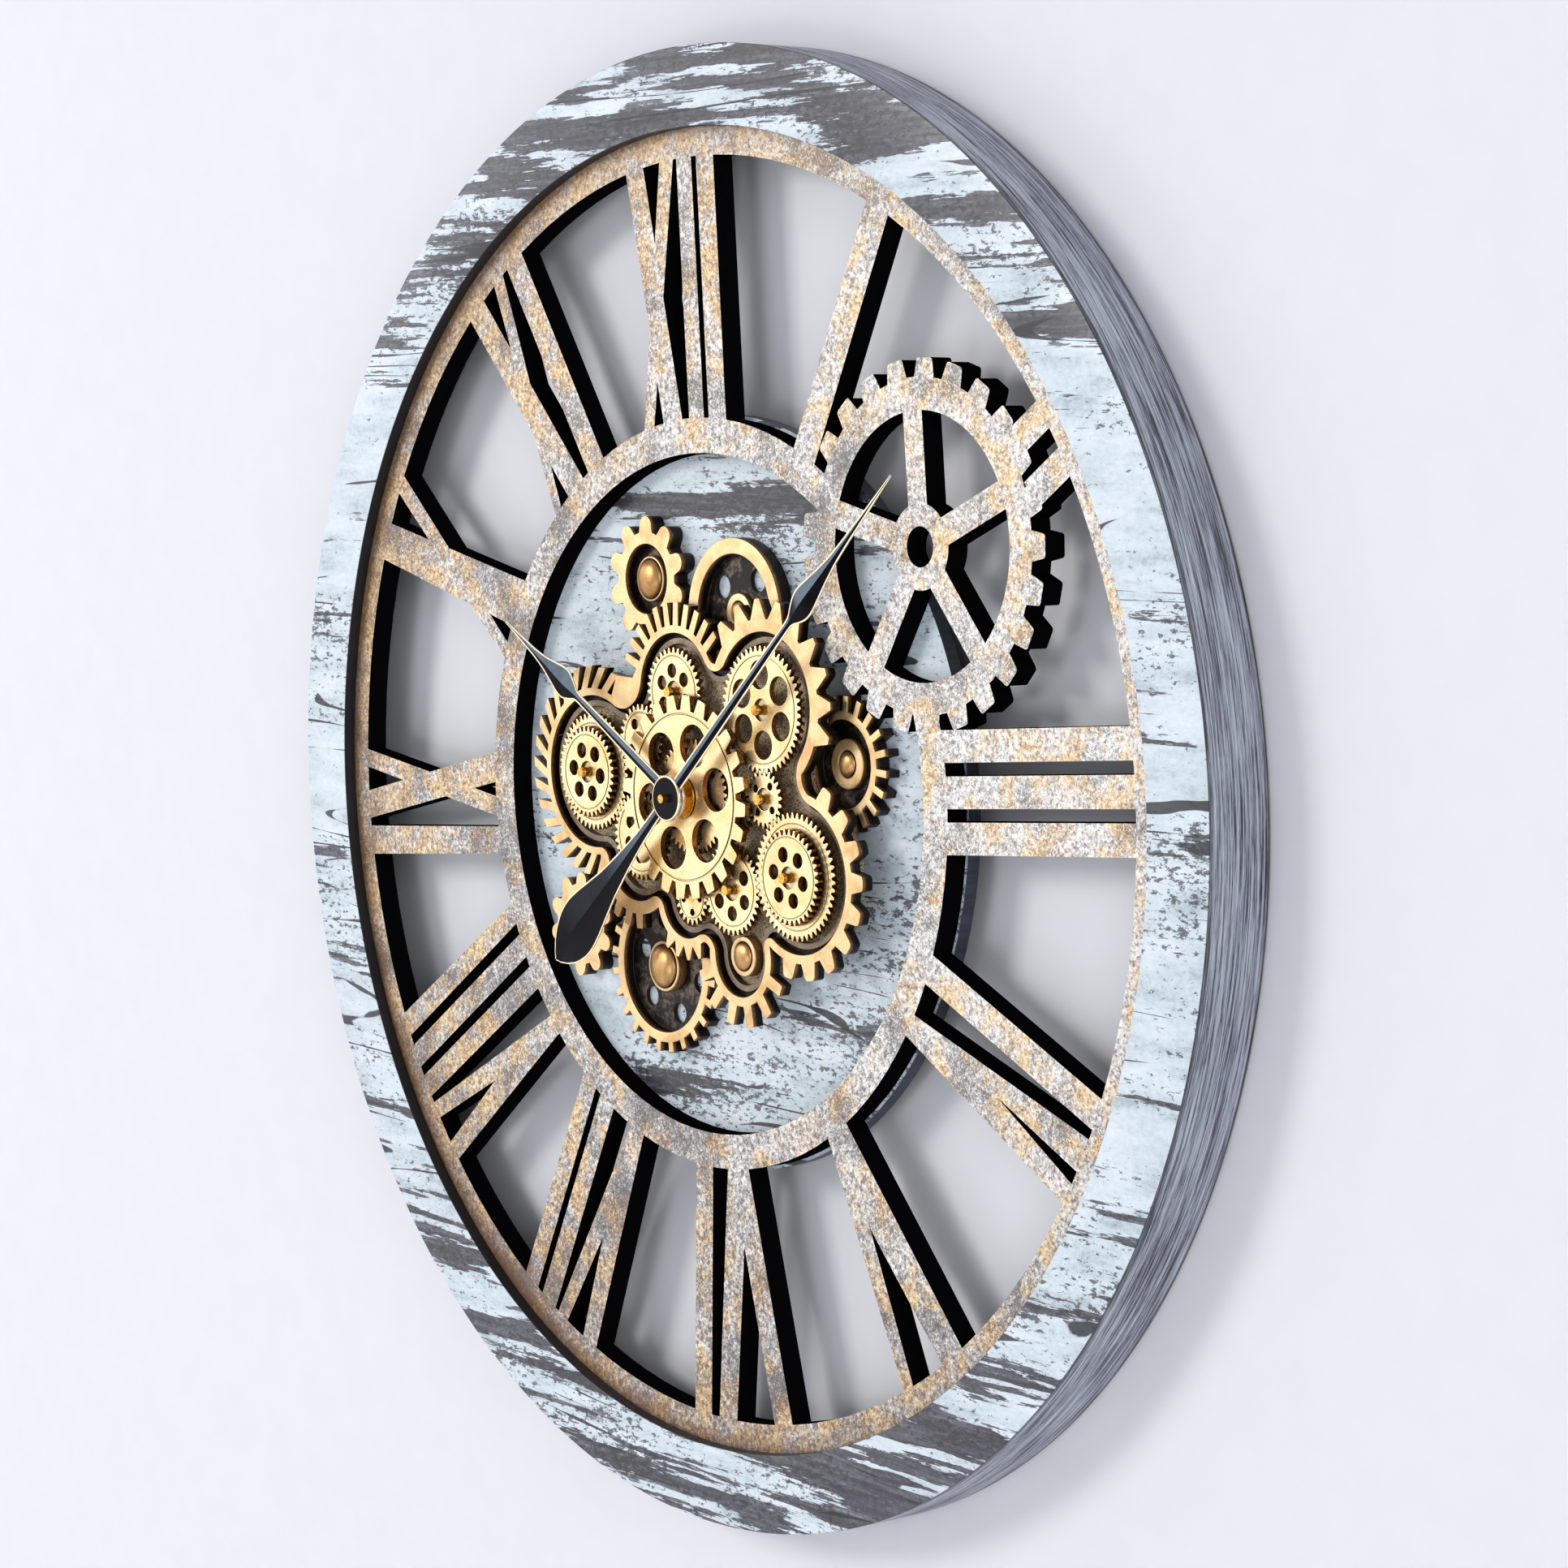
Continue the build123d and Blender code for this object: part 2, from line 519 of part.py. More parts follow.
# hanger: a steel tab across the back of the plate's rim with one round hole
HANG_Z = 281.0
HANG_HOLE_R = 4.0
HANG_Y = PLATE_BACK + 6.0
HANG_T = 1.6
tab = slab(box2(-38, HANG_Z - 9, 38, HANG_Z + 9), HANG_Y, HANG_Y + HANG_T)
HANG_SCREWS = [(-30.0, HANG_Z), (30.0, HANG_Z)]
for x, z in HANG_SCREWS:
    tab = tab + slab(disc(6.0, x, z), PLATE_BACK, HANG_Y) - slab(disc(2.1, x, z), PLATE_BACK - 1, HANG_Y + 3)
parts["hanger_plate"] = tab - slab(disc(HANG_HOLE_R, 0, HANG_Z), HANG_Y - 1, HANG_Y + 3)
holes = [slab(disc(1.9, *p), PLATE_BACK - 7.4, PLATE_BACK + 1) for p in HANG_SCREWS]
parts["numeral_plate"] = parts["numeral_plate"] - holes
parts["hanger_screws"] = [screw(x, z, HANG_Y + HANG_T, PLATE_BACK - 7.0, 1.9, 3.6) for x, z in HANG_SCREWS]

# gear housing
inner = lobed(0.0)
bezel = slab(bezel_sketch() - inner, 0, BEZEL_T)
parts["bezel"] = bezel
GROOVE_W = 2.2
STEP_W = 4.7
liner = slab(lobed(2.0) - lobed(-STEP_W), BEZEL_T, FLOOR_Y)
ridge = slab(lobed(-GROOVE_W) - lobed(-STEP_W), 2.8, FLOOR_Y)
parts["channel_liner"] = liner + ridge

floor_cuts = [disc(PIN_R, *c) for c, _ in PINS.values()]
floor_cuts += [disc(BUSH_R + 0.15), disc(2.6, *DRIVE)]
floor_cuts += [disc(1.5, *p) for p in STANDOFFS]
parts["floor_plate"] = slab(lobed(2.0) - floor_cuts, FLOOR_Y, MOVE_Y)

RIVETS = [polar(33.2, 150, LOBES["left"][0]), polar(33.2, 240, LOBES["left"][0]), polar(25.3, 90, LOBES["up_left"][0]),
          polar(31.4, 60, LOBES["up_right"][0]), polar(31.6, 10, LOBES["low_right"][0]),
          polar(31.6, -70, LOBES["low_right"][0]), polar(17.8, -90, LOBES["bottom"][0])]
RIVET_R = 0.8
cuts = [slab(disc(RIVET_R, *p), 2.5, MOVE_Y + 1) for p in RIVETS]
for name in ("bezel", "channel_liner", "floor_plate"):
    parts[name] = parts[name] - cuts
parts["housing_rivets"] = [slab(disc(RIVET_R, *p), 2.5, MOVE_Y) for p in RIVETS]

parts["standoffs"] = [slab(ring(STANDOFF_R, 1.5, *p), MOVE_Y, PLATE_BACK) for p in STANDOFFS]
parts["standoff_screws"] = [screw(p[0], p[1], DISC_BACK, FLOOR_Y + 0.2, 1.5, 3.2) for p in STANDOFFS]

# still ornaments
teeth = round_teeth(TOP_GEAR, 10, 86, 19.4, 26.2, 8.0)
parts["ornament_top_gear"] = ornament(TOP_GEAR, [disc(19.8, *TOP_GEAR)] + teeth, 14.8)
parts["ornament_top_ring"] = ornament(TOP_RING, [disc(30.8, *TOP_RING)], 24.2, 4, 17.0, 4.8, 48)
teeth = bar_teeth(SIDE_GEAR, 20, 8.3, 21.2, 27.6, 3.1)
parts["ornament_side_gear"] = ornament(SIDE_GEAR, [disc(21.4, *SIDE_GEAR)] + teeth, 17.9)
teeth = bar_teeth(BOTTOM_GEAR, 24, 4, 32.2, 36.6, 3.3)
parts["ornament_bottom_gear"] = ornament(BOTTOM_GEAR, [disc(32.4, *BOTTOM_GEAR)] + teeth, 28.0, 6, 20.5, 4.2, 40)
teeth = round_teeth(CORNER_GEAR, 10, 11, 17.0, 22.6, 7.0)
parts["ornament_corner_gear"] = ornament(CORNER_GEAR, [disc(17.4, *CORNER_GEAR)] + teeth, 12.6)

seat = SAT_Y + SAT_DISH_Y
caps_large = [cap(TOP_GEAR, 9.6, 8.0, seat, 3.0), cap(BOTTOM_GEAR, 10.8, 8.8, seat, 4.5)]
caps_small = [cap(TOP_RING, 8.2, 4.4, seat, 2.4), cap(SIDE_GEAR, 10.2, 5.0, seat, 2.4),
              cap(CORNER_GEAR, 7.5, 5.0, seat, 2.4)]
LOBE_CAP = LOBES["bottom"][0]
parts["large_caps"] = caps_large
parts["small_caps"] = caps_small + [cap(LOBE_CAP, 8.4, 5.6, FLOOR_Y, 4.5)]
parts["ornament_screws"] = [screw(p[0], p[1], DISC_BACK, seat + 0.2, 1.5, 3.2) for p in DOMES.values()]

# centre gear and its stack
bore = SLEEVE_R + GAP
blocks = [blunt_tooth(CENTRE, FACE_DEG + 360 * k / N_FACE, FACE_ROOT_R, FACE_TIP_R, 7.0, 5.4, 0.0, 0.7)
          for k in range(N_FACE)]
windows = [disc(8.9, *polar(22.6, FACE_DEG + 60 * k)) for k in range(6)]
face = Sketch() + [disc(FACE_ROOT_R)] + blocks
face = face - [disc(bore)] - windows
centre_gear = slab(face, CENTRE_Y, CENTRE_Y + 2.6)
parts["centre_gear"] = groove(centre_gear, CENTRE, 34.4, CENTRE_Y, 0.8, 0.5)
fine = slab(gear_sketch(N_CENTRE, MODULE, DEG["centre"], CENTRE, bore, 6, 17.0, 3.4, 36.5), TRAIN_Y, TRAIN_BACK)
parts["centre_fine_gear"] = fine + slab(ring(11.0, bore), CENTRE_Y + 2.6, TRAIN_Y)
sleeve = slab(ring(SLEEVE_R, BUSH_R + GAP), WASHER_Y + 0.6, FLOOR_Y)
parts["centre_sleeve"] = sleeve + slab(ring(9.0, SLEEVE_R - 0.5), TRAIN_BACK + 0.3, FLOOR_Y)

# left pair
left = train_gear("left", N_LEFT, LEFT, 6, 13.5, 3.3, 10, line=20.6)
parts["left_gear"] = left + slab(ring(5.6, BORE, *LEFT), TOP_Y + GEAR_T, TRAIN_Y)
top = slab(gear_sketch(N_TOP, MODULE, 3, LEFT, BORE, 6, 9.7, 3.3, 48), TOP_Y, TOP_Y + GEAR_T)
parts["left_top_gear"] = recess(groove(top, LEFT, 15.8, TOP_Y), LEFT, TOP_Y)

# lower-right pair
low = train_gear("low_right", N_LOW_RIGHT, LOW_RIGHT, 6, 14.5, 3.4, -5, line=21.5)
parts["low_right_gear"] = low + slab(ring(5.6, BORE, *LOW_RIGHT), TOP_Y + GEAR_T, TRAIN_Y)
top = slab(gear_sketch(N_TOP, MODULE, 5, LOW_RIGHT, BORE, 6, 9.6, 3.1, -15), TOP_Y, TOP_Y + GEAR_T)
parts["low_right_top_gear"] = recess(groove(top, LOW_RIGHT, 16.4, TOP_Y), LOW_RIGHT, TOP_Y)

# single gears
parts["low_left_gear"] = train_gear("low_left", N_LOW_LEFT, LOW_LEFT, 6, 9.0, 2.9, 20, line=15.2)
parts["left_idler"] = train_gear("idler", N_IDLER, IDLER, 4, 7.6, 2.3, 30, line=11.4)
up = train_gear("up_left", N_UP_LEFT, UP_LEFT, 6, 8.8, 3.0, 32, line=14.9)
parts["up_left_gear"] = recess(up, UP_LEFT, TRAIN_Y)
up = train_gear("up_right", N_UP_RIGHT, UP_RIGHT, 6, 14.2, 5.9, 30, line=21.8)
parts["up_right_gear"] = recess(up, UP_RIGHT, TRAIN_Y)
parts["right_pinion"] = recess(train_gear("right", N_RIGHT, RIGHT, 4, 6.8, 1.6, 48), RIGHT, TRAIN_Y)
parts["hidden_idler"] = train_gear("hidden", N_HIDDEN, HIDDEN)
parts["lower_gear"] = recess(train_gear("lower", N_LOWER, LOWER, 6, 9.8, 3.1, 28, line=15.0), LOWER, TRAIN_Y)
parts["drive_pinion"] = train_gear("drive", N_DRIVE, DRIVE, 4, 5.6, 1.5, 0, bore=1.5, line=8.0)

# axle pins: pressed in the floor, a shoulder under each gear
pins = []
for name, (c, y_front) in PINS.items():
    top_y = TRAIN_Y + 0.2 if name in SHORT_PINS else y_front - PIN_TOP
    pin = slab(disc(PIN_R, *c), top_y, MOVE_Y)
    pins.append(pin + slab(disc(3.6, *c), TRAIN_BACK + 0.3, FLOOR_Y))
parts["axle_pins"] = pins

# motion work: threaded bush, nut, washer, hour pipe, minute arbor
parts["movement_bush"] = slab(ring(BUSH_R, PIPE_R + GAP), NUT_Y - 0.6, MOVE_Y)
parts["centre_washer"] = slab(ring(8.6, BUSH_R + 0.1), WASHER_Y, WASHER_Y + 0.6)
nut = RegularPolygon(6.6, 6) - Circle(BUSH_R)
parts["centre_nut"] = slab(nut, NUT_Y, WASHER_Y)
parts["hour_pipe"] = slab(ring(PIPE_R, ARBOR_R + GAP), HOUR_BACK - 1.6, MOVE_Y + 4.0)
parts["minute_arbor"] = slab(disc(ARBOR_R), -TIP_FRONT, MOVE_Y + 6.0)

# hands
hour = blade(HOUR_BLADE, HOUR_DEG, HOUR_BACK, HAND_EDGE, RIDGE) + slab(disc(8.2), HOUR_BACK - 1.3, HOUR_BACK)
parts["hour_hand"] = hour - slab(disc(PIPE_R), HOUR_BACK - 5, HOUR_BACK + 1)
minute = blade(MINUTE_BLADE, MINUTE_DEG, MINUTE_BACK, HAND_EDGE, RIDGE)
minute = minute + blade(MINUTE_TAIL, MINUTE_DEG + 180, MINUTE_BACK, HAND_EDGE, RIDGE)
minute = minute + slab(disc(CAP_R), CAP_FRONT, MINUTE_BACK)
parts["minute_hand"] = minute - slab(disc(ARBOR_R), MINUTE_BACK - 6, MINUTE_BACK + 1)

# quartz movement: open-backed case with a cell bay below, board, coil, lid
H = MOVE_HALF
CELL_Z = -18.5
case = slab(box2(-H, -H, H, H), MOVE_Y, MOVE_BACK - WALL)
case = case - slab(box2(-H + WALL, -H + 19.4, H - WALL, H - WALL), MOVE_Y + WALL, MOVE_BACK)
case = case - slab(box2(-H + WALL, -H + WALL, H - WALL, -H + 18.2), MOVE_Y + WALL, MOVE_BACK)
parts["movement_case"] = case - slab(disc(BUSH_R), MOVE_Y - 1, MOVE_Y + WALL + 1)
parts["movement_bush"] = parts["movement_bush"] + slab(ring(BUSH_R, PIPE_R + GAP), MOVE_Y - 0.5, MOVE_Y + WALL)
lid = slab(box2(-H, -H + 18.8, H, H), MOVE_BACK - WALL, MOVE_BACK)
KNOB = (14.0, 14.0)
parts["movement_lid"] = lid - slab(disc(2.5 + GAP, *KNOB), MOVE_BACK - 3, MOVE_BACK + 1)
knob = slab(disc(2.5, *KNOB), MOVE_BACK - 4.0, MOVE_BACK + 0.8)
knurl = [disc(0.5, *polar(7.0, 18 * k, KNOB)) for k in range(20)]
parts["setting_wheel"] = knob + slab(disc(7.0, *KNOB) - knurl, MOVE_BACK + 0.6, MOVE_BACK + 3.2)
parts["cell_cover"] = slab(box2(-H, -H, H, -H + 18.6), MOVE_BACK - WALL, MOVE_BACK)
parts["quartz_board"] = slab(box2(-25, 2, -6, 25), MOVE_Y + 8.0, MOVE_Y + 9.2)
parts["quartz_coil"] = slab(box2(-24, 12, -8, 20), MOVE_Y + WALL, MOVE_Y + 8.0)


def lying_cell(x_mid, z_mid, y_mid, nub):
    """Round cell lying along X with its button at the end pointed to by nub (+1 or -1)."""
    body = Cylinder(AA_R, AA_L - 1.5, rotation=(0, 90, 0))
    button = Pos(nub * (AA_L / 2 - 0.25), 0, 0) * Cylinder(2.6, 1.9, rotation=(0, 90, 0))
    return Pos(x_mid, y_mid + FRONT_Y, z_mid) * (body + button)


CELL_Y = MOVE_Y + WALL + AA_R + 0.1
cells = [lying_cell(0.0, CELL_Z, CELL_Y, 1)]
CONTACT_T = 0.4


def contact(x_end, z_mid, side, y_mid):
    """Plated spring-steel leaf against the end wall of a bay; side is the direction away from the cell."""
    x0, x1 = sorted((x_end, x_end - side * CONTACT_T))
    return slab(box2(x0, z_mid - 4.5, x1, z_mid + 4.5), y_mid - 5.0, y_mid + 5.0)


contacts = [contact(s * (H - WALL), CELL_Z, s, CELL_Y) for s in (-1, 1)]

# gear motor: case, output shaft
motor = slab(box2(*MOTOR), MOVE_Y, MOTOR_BACK)
motor = motor - slab(box2(MOTOR[0] + WALL, MOTOR[1] + WALL, MOTOR[2] - WALL, MOTOR[3] - WALL), MOVE_Y + WALL,
                     MOTOR_BACK - WALL)
parts["motor_case"] = motor - slab(disc(1.5 + GAP, *DRIVE), MOVE_Y - 1, MOVE_Y + WALL + 0.5)
parts["motor_shaft"] = slab(disc(1.5, *DRIVE), TRAIN_Y, MOVE_Y + 6.0)
CAN = (8.5, -41.0)
CAN_R = 6.0
parts["motor_can"] = slab(disc(CAN_R, *CAN), MOVE_Y + WALL, MOTOR_BACK - WALL)

# two-cell holder, cover, cells, contacts, slide switch
hx0, hz0, hx1, hz1 = HOLDER
holder = slab(box2(*HOLDER), MOVE_Y + 0.2, HOLDER_BACK - WALL)
zm = (hz0 + hz1) / 2
xm = (hx0 + hx1) / 2
bay = 15.0
for z_mid in (zm - 7.8, zm + 7.8):
    holder = holder - slab(box2(hx0 + WALL, z_mid - bay / 2, hx1 - WALL, z_mid + bay / 2), MOVE_Y + 0.2 + WALL,
                           HOLDER_BACK)
parts["cell_holder"] = holder
HOLD_Y = MOVE_Y + 0.2 + WALL + AA_R + 0.1
cells += [lying_cell(xm, zm - 7.8, HOLD_Y, 1), lying_cell(xm, zm + 7.8, HOLD_Y, -1)]
parts["aa_cells"] = cells
for z_mid in (zm - 7.8, zm + 7.8):
    contacts += [contact(hx1 - WALL, z_mid, 1, HOLD_Y), contact(hx0 + WALL, z_mid, -1, HOLD_Y)]
parts["cell_contacts"] = contacts
parts["holder_cover"] = slab(box2(hx0, hz0, hx1, hz1), HOLDER_BACK - WALL, HOLDER_BACK)
# slide switch screwed to the disc beside the holder
SW = (20.0, -78.0)
sw = slab(box2(SW[0] - 9, SW[1] - 4, SW[0] + 9, SW[1] + 4), DISC_BACK, DISC_BACK + 4.2)
SLOT = 6.0
parts["switch_body"] = sw - slab(box2(SW[0] - SLOT / 2 - 0.1, SW[1] - 1.6, SW[0] + SLOT / 2 + 0.1, SW[1] + 1.6),
                                 DISC_BACK + 2.0, DISC_BACK + 5)
parts["switch_slider"] = slab(box2(SW[0] - SLOT / 2, SW[1] - 1.5, SW[0] - SLOT / 2 + 3.0, SW[1] + 1.5),
                              DISC_BACK + 2.0, DISC_BACK + 6.4)

os.makedirs("parts", exist_ok=True)
for name, shape in parts.items():
    if isinstance(shape, list):
        shape = Compound(children=[s if isinstance(s, Solid) else s.solids()[0] for s in shape])
    export_step(shape, f"parts/{name}.step")
print(len(parts), "nodes")
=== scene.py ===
"""Looks of the skeleton wall clock: materials, smooth outer pieces, fine detail, light and camera."""
import math

import bmesh
import bpy
from mathutils import Matrix, Vector


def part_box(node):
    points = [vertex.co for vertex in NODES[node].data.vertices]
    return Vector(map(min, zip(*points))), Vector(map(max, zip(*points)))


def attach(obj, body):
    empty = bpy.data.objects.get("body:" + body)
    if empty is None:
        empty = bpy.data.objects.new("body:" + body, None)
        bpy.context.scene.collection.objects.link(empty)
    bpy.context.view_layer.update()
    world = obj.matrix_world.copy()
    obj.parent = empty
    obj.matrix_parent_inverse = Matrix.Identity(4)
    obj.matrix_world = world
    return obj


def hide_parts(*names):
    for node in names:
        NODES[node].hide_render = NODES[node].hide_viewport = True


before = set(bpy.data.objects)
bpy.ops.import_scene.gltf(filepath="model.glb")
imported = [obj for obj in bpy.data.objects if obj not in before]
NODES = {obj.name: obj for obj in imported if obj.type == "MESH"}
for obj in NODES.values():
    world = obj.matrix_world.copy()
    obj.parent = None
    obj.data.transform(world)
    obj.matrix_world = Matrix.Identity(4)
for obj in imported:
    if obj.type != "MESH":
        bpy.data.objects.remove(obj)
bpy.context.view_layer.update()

MM = 0.001
TAU = 2 * math.pi


# ---------------------------------------------------------------- places, read from the CAD frame

def span(node, axis):
    """Lowest and highest place of a node along one axis."""
    low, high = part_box(node)
    return low[axis], high[axis]


def radius(node):
    low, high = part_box(node)
    return (high[0] - low[0]) / 2


CASE_FRONT = span("face_ring", 1)[0]
CASE_BACK = span("side_hoop", 1)[1]
CASE_R = radius("side_hoop")
FACE_IN_R = 0.2725      # inner edge of the wood-print ring
HOOP_WALL = 0.006
EDGE_ROUND = 0.0004     # rounding of the case's edges


# ---------------------------------------------------------------- colours

def srgb(r, g, b):
    """Linear colour from 0-255 display values."""
    def lin(v):
        v /= 255
        return v / 12.92 if v <= 0.04045 else ((v + 0.055) / 1.055) ** 2.4
    return (lin(r), lin(g), lin(b), 1.0)


# ---------------------------------------------------------------- shader graphs

class Graph:
    """Short forms for building one material's nodes."""

    def __init__(self, name):
        self.mat = bpy.data.materials.new(name)
        self.mat.use_nodes = True
        self.nodes = self.mat.node_tree.nodes
        self.links = self.mat.node_tree.links
        self.nodes.clear()
        self.out = self.nodes.new("ShaderNodeOutputMaterial")
        self.bsdf = self.nodes.new("ShaderNodeBsdfPrincipled")
        self.links.new(self.bsdf.outputs[0], self.out.inputs["Surface"])
        self.co = self.nodes.new("ShaderNodeTexCoord").outputs["Object"]

    def put(self, socket, value):
        if isinstance(value, bpy.types.NodeSocket):
            self.links.new(value, socket)
        else:
            socket.default_value = value

    def set(self, **values):
        for name, value in values.items():
            self.put(self.bsdf.inputs[name.replace("_", " ")], value)

    def math(self, op, a, b=0.0, c=0.0, clamp=False):
        n = self.nodes.new("ShaderNodeMath")
        n.operation = op
        n.use_clamp = clamp
        for i, v in enumerate((a, b, c)):
            self.put(n.inputs[i], v)
        return n.outputs[0]

    def split(self, vector):
        n = self.nodes.new("ShaderNodeSeparateXYZ")
        self.put(n.inputs[0], vector)
        return n.outputs

    def join(self, x, y, z):
        n = self.nodes.new("ShaderNodeCombineXYZ")
        for i, v in enumerate((x, y, z)):
            self.put(n.inputs[i], v)
        return n.outputs[0]

    def place(self, vector, scale=(1, 1, 1), turn=(0, 0, 0), shift=(0, 0, 0)):
        n = self.nodes.new("ShaderNodeMapping")
        self.put(n.inputs["Vector"], vector)
        n.inputs["Scale"].default_value = scale
        n.inputs["Rotation"].default_value = turn
        n.inputs["Location"].default_value = shift
        return n.outputs[0]

    def noise(self, vector, scale, detail=4.0, rough=0.5, warp=0.0):
        n = self.nodes.new("ShaderNodeTexNoise")
        self.put(n.inputs["Vector"], vector)
        n.inputs["Scale"].default_value = scale
        n.inputs["Detail"].default_value = detail
        n.inputs["Roughness"].default_value = rough
        n.inputs["Distortion"].default_value = warp
        return n.outputs["Fac"]

    def cells(self, vector, scale, feature="F1", rand=1.0):
        n = self.nodes.new("ShaderNodeTexVoronoi")
        n.feature = feature
        self.put(n.inputs["Vector"], vector)
        n.inputs["Scale"].default_value = scale
        n.inputs["Randomness"].default_value = rand
        return n.outputs["Distance"]

    def step(self, value, low, high, out_low=0.0, out_high=1.0):
        """Smooth step from low to high."""
        n = self.nodes.new("ShaderNodeMapRange")
        n.interpolation_type = "SMOOTHSTEP"
        for i, v in enumerate((value, low, high, out_low, out_high)):
            self.put(n.inputs[i], v)
        return n.outputs[0]

    def ramp(self, value, *stops):
        n = self.nodes.new("ShaderNodeValToRGB")
        self.put(n.inputs[0], value)
        items = n.color_ramp.elements
        while len(items) < len(stops):
            items.new(0.5)
        for item, (pos, colour) in zip(items, stops):
            item.position = pos
            item.color = colour
        return n.outputs[0]

    def mix(self, fac, a, b, blend="MIX"):
        n = self.nodes.new("ShaderNodeMix")
        n.data_type = "RGBA"
        n.blend_type = blend
        self.put(n.inputs[0], fac)
        self.put(n.inputs[6], a)
        self.put(n.inputs[7], b)
        return n.outputs[2]

    def bump(self, height, strength, distance):
        n = self.nodes.new("ShaderNodeBump")
        n.inputs["Strength"].default_value = strength
        n.inputs["Distance"].default_value = distance
        self.put(n.inputs["Height"], height)
        self.links.new(n.outputs[0], self.bsdf.inputs["Normal"])

    def facing_front(self, sign=1.0):
        """1 where the surface faces the front (-Y), or the wall with sign -1; 0 on side walls."""
        n = self.nodes.new("ShaderNodeNewGeometry")
        y = self.split(n.outputs["True Normal"])[1]
        return self.step(self.math("MULTIPLY", y, -sign), 0.55, 0.9)

    def crevice_shade(self, distance, low=0.25, high=0.85):
        """Painted shade mask from ambient occlusion: 0 in corners and gaps, 1 on open surfaces."""
        n = self.nodes.new("ShaderNodeAmbientOcclusion")
        n.samples = 6
        n.inputs["Distance"].default_value = distance
        return self.step(n.outputs["AO"], low, high)

    # pointiness mask of raised edges: rubbed wear that also stands in for a painted highlight
    def edge_wear_and_highlight(self, low=0.52, high=0.62):
        n = self.nodes.new("ShaderNodeNewGeometry")
        return self.step(n.outputs["Pointiness"], low, high)


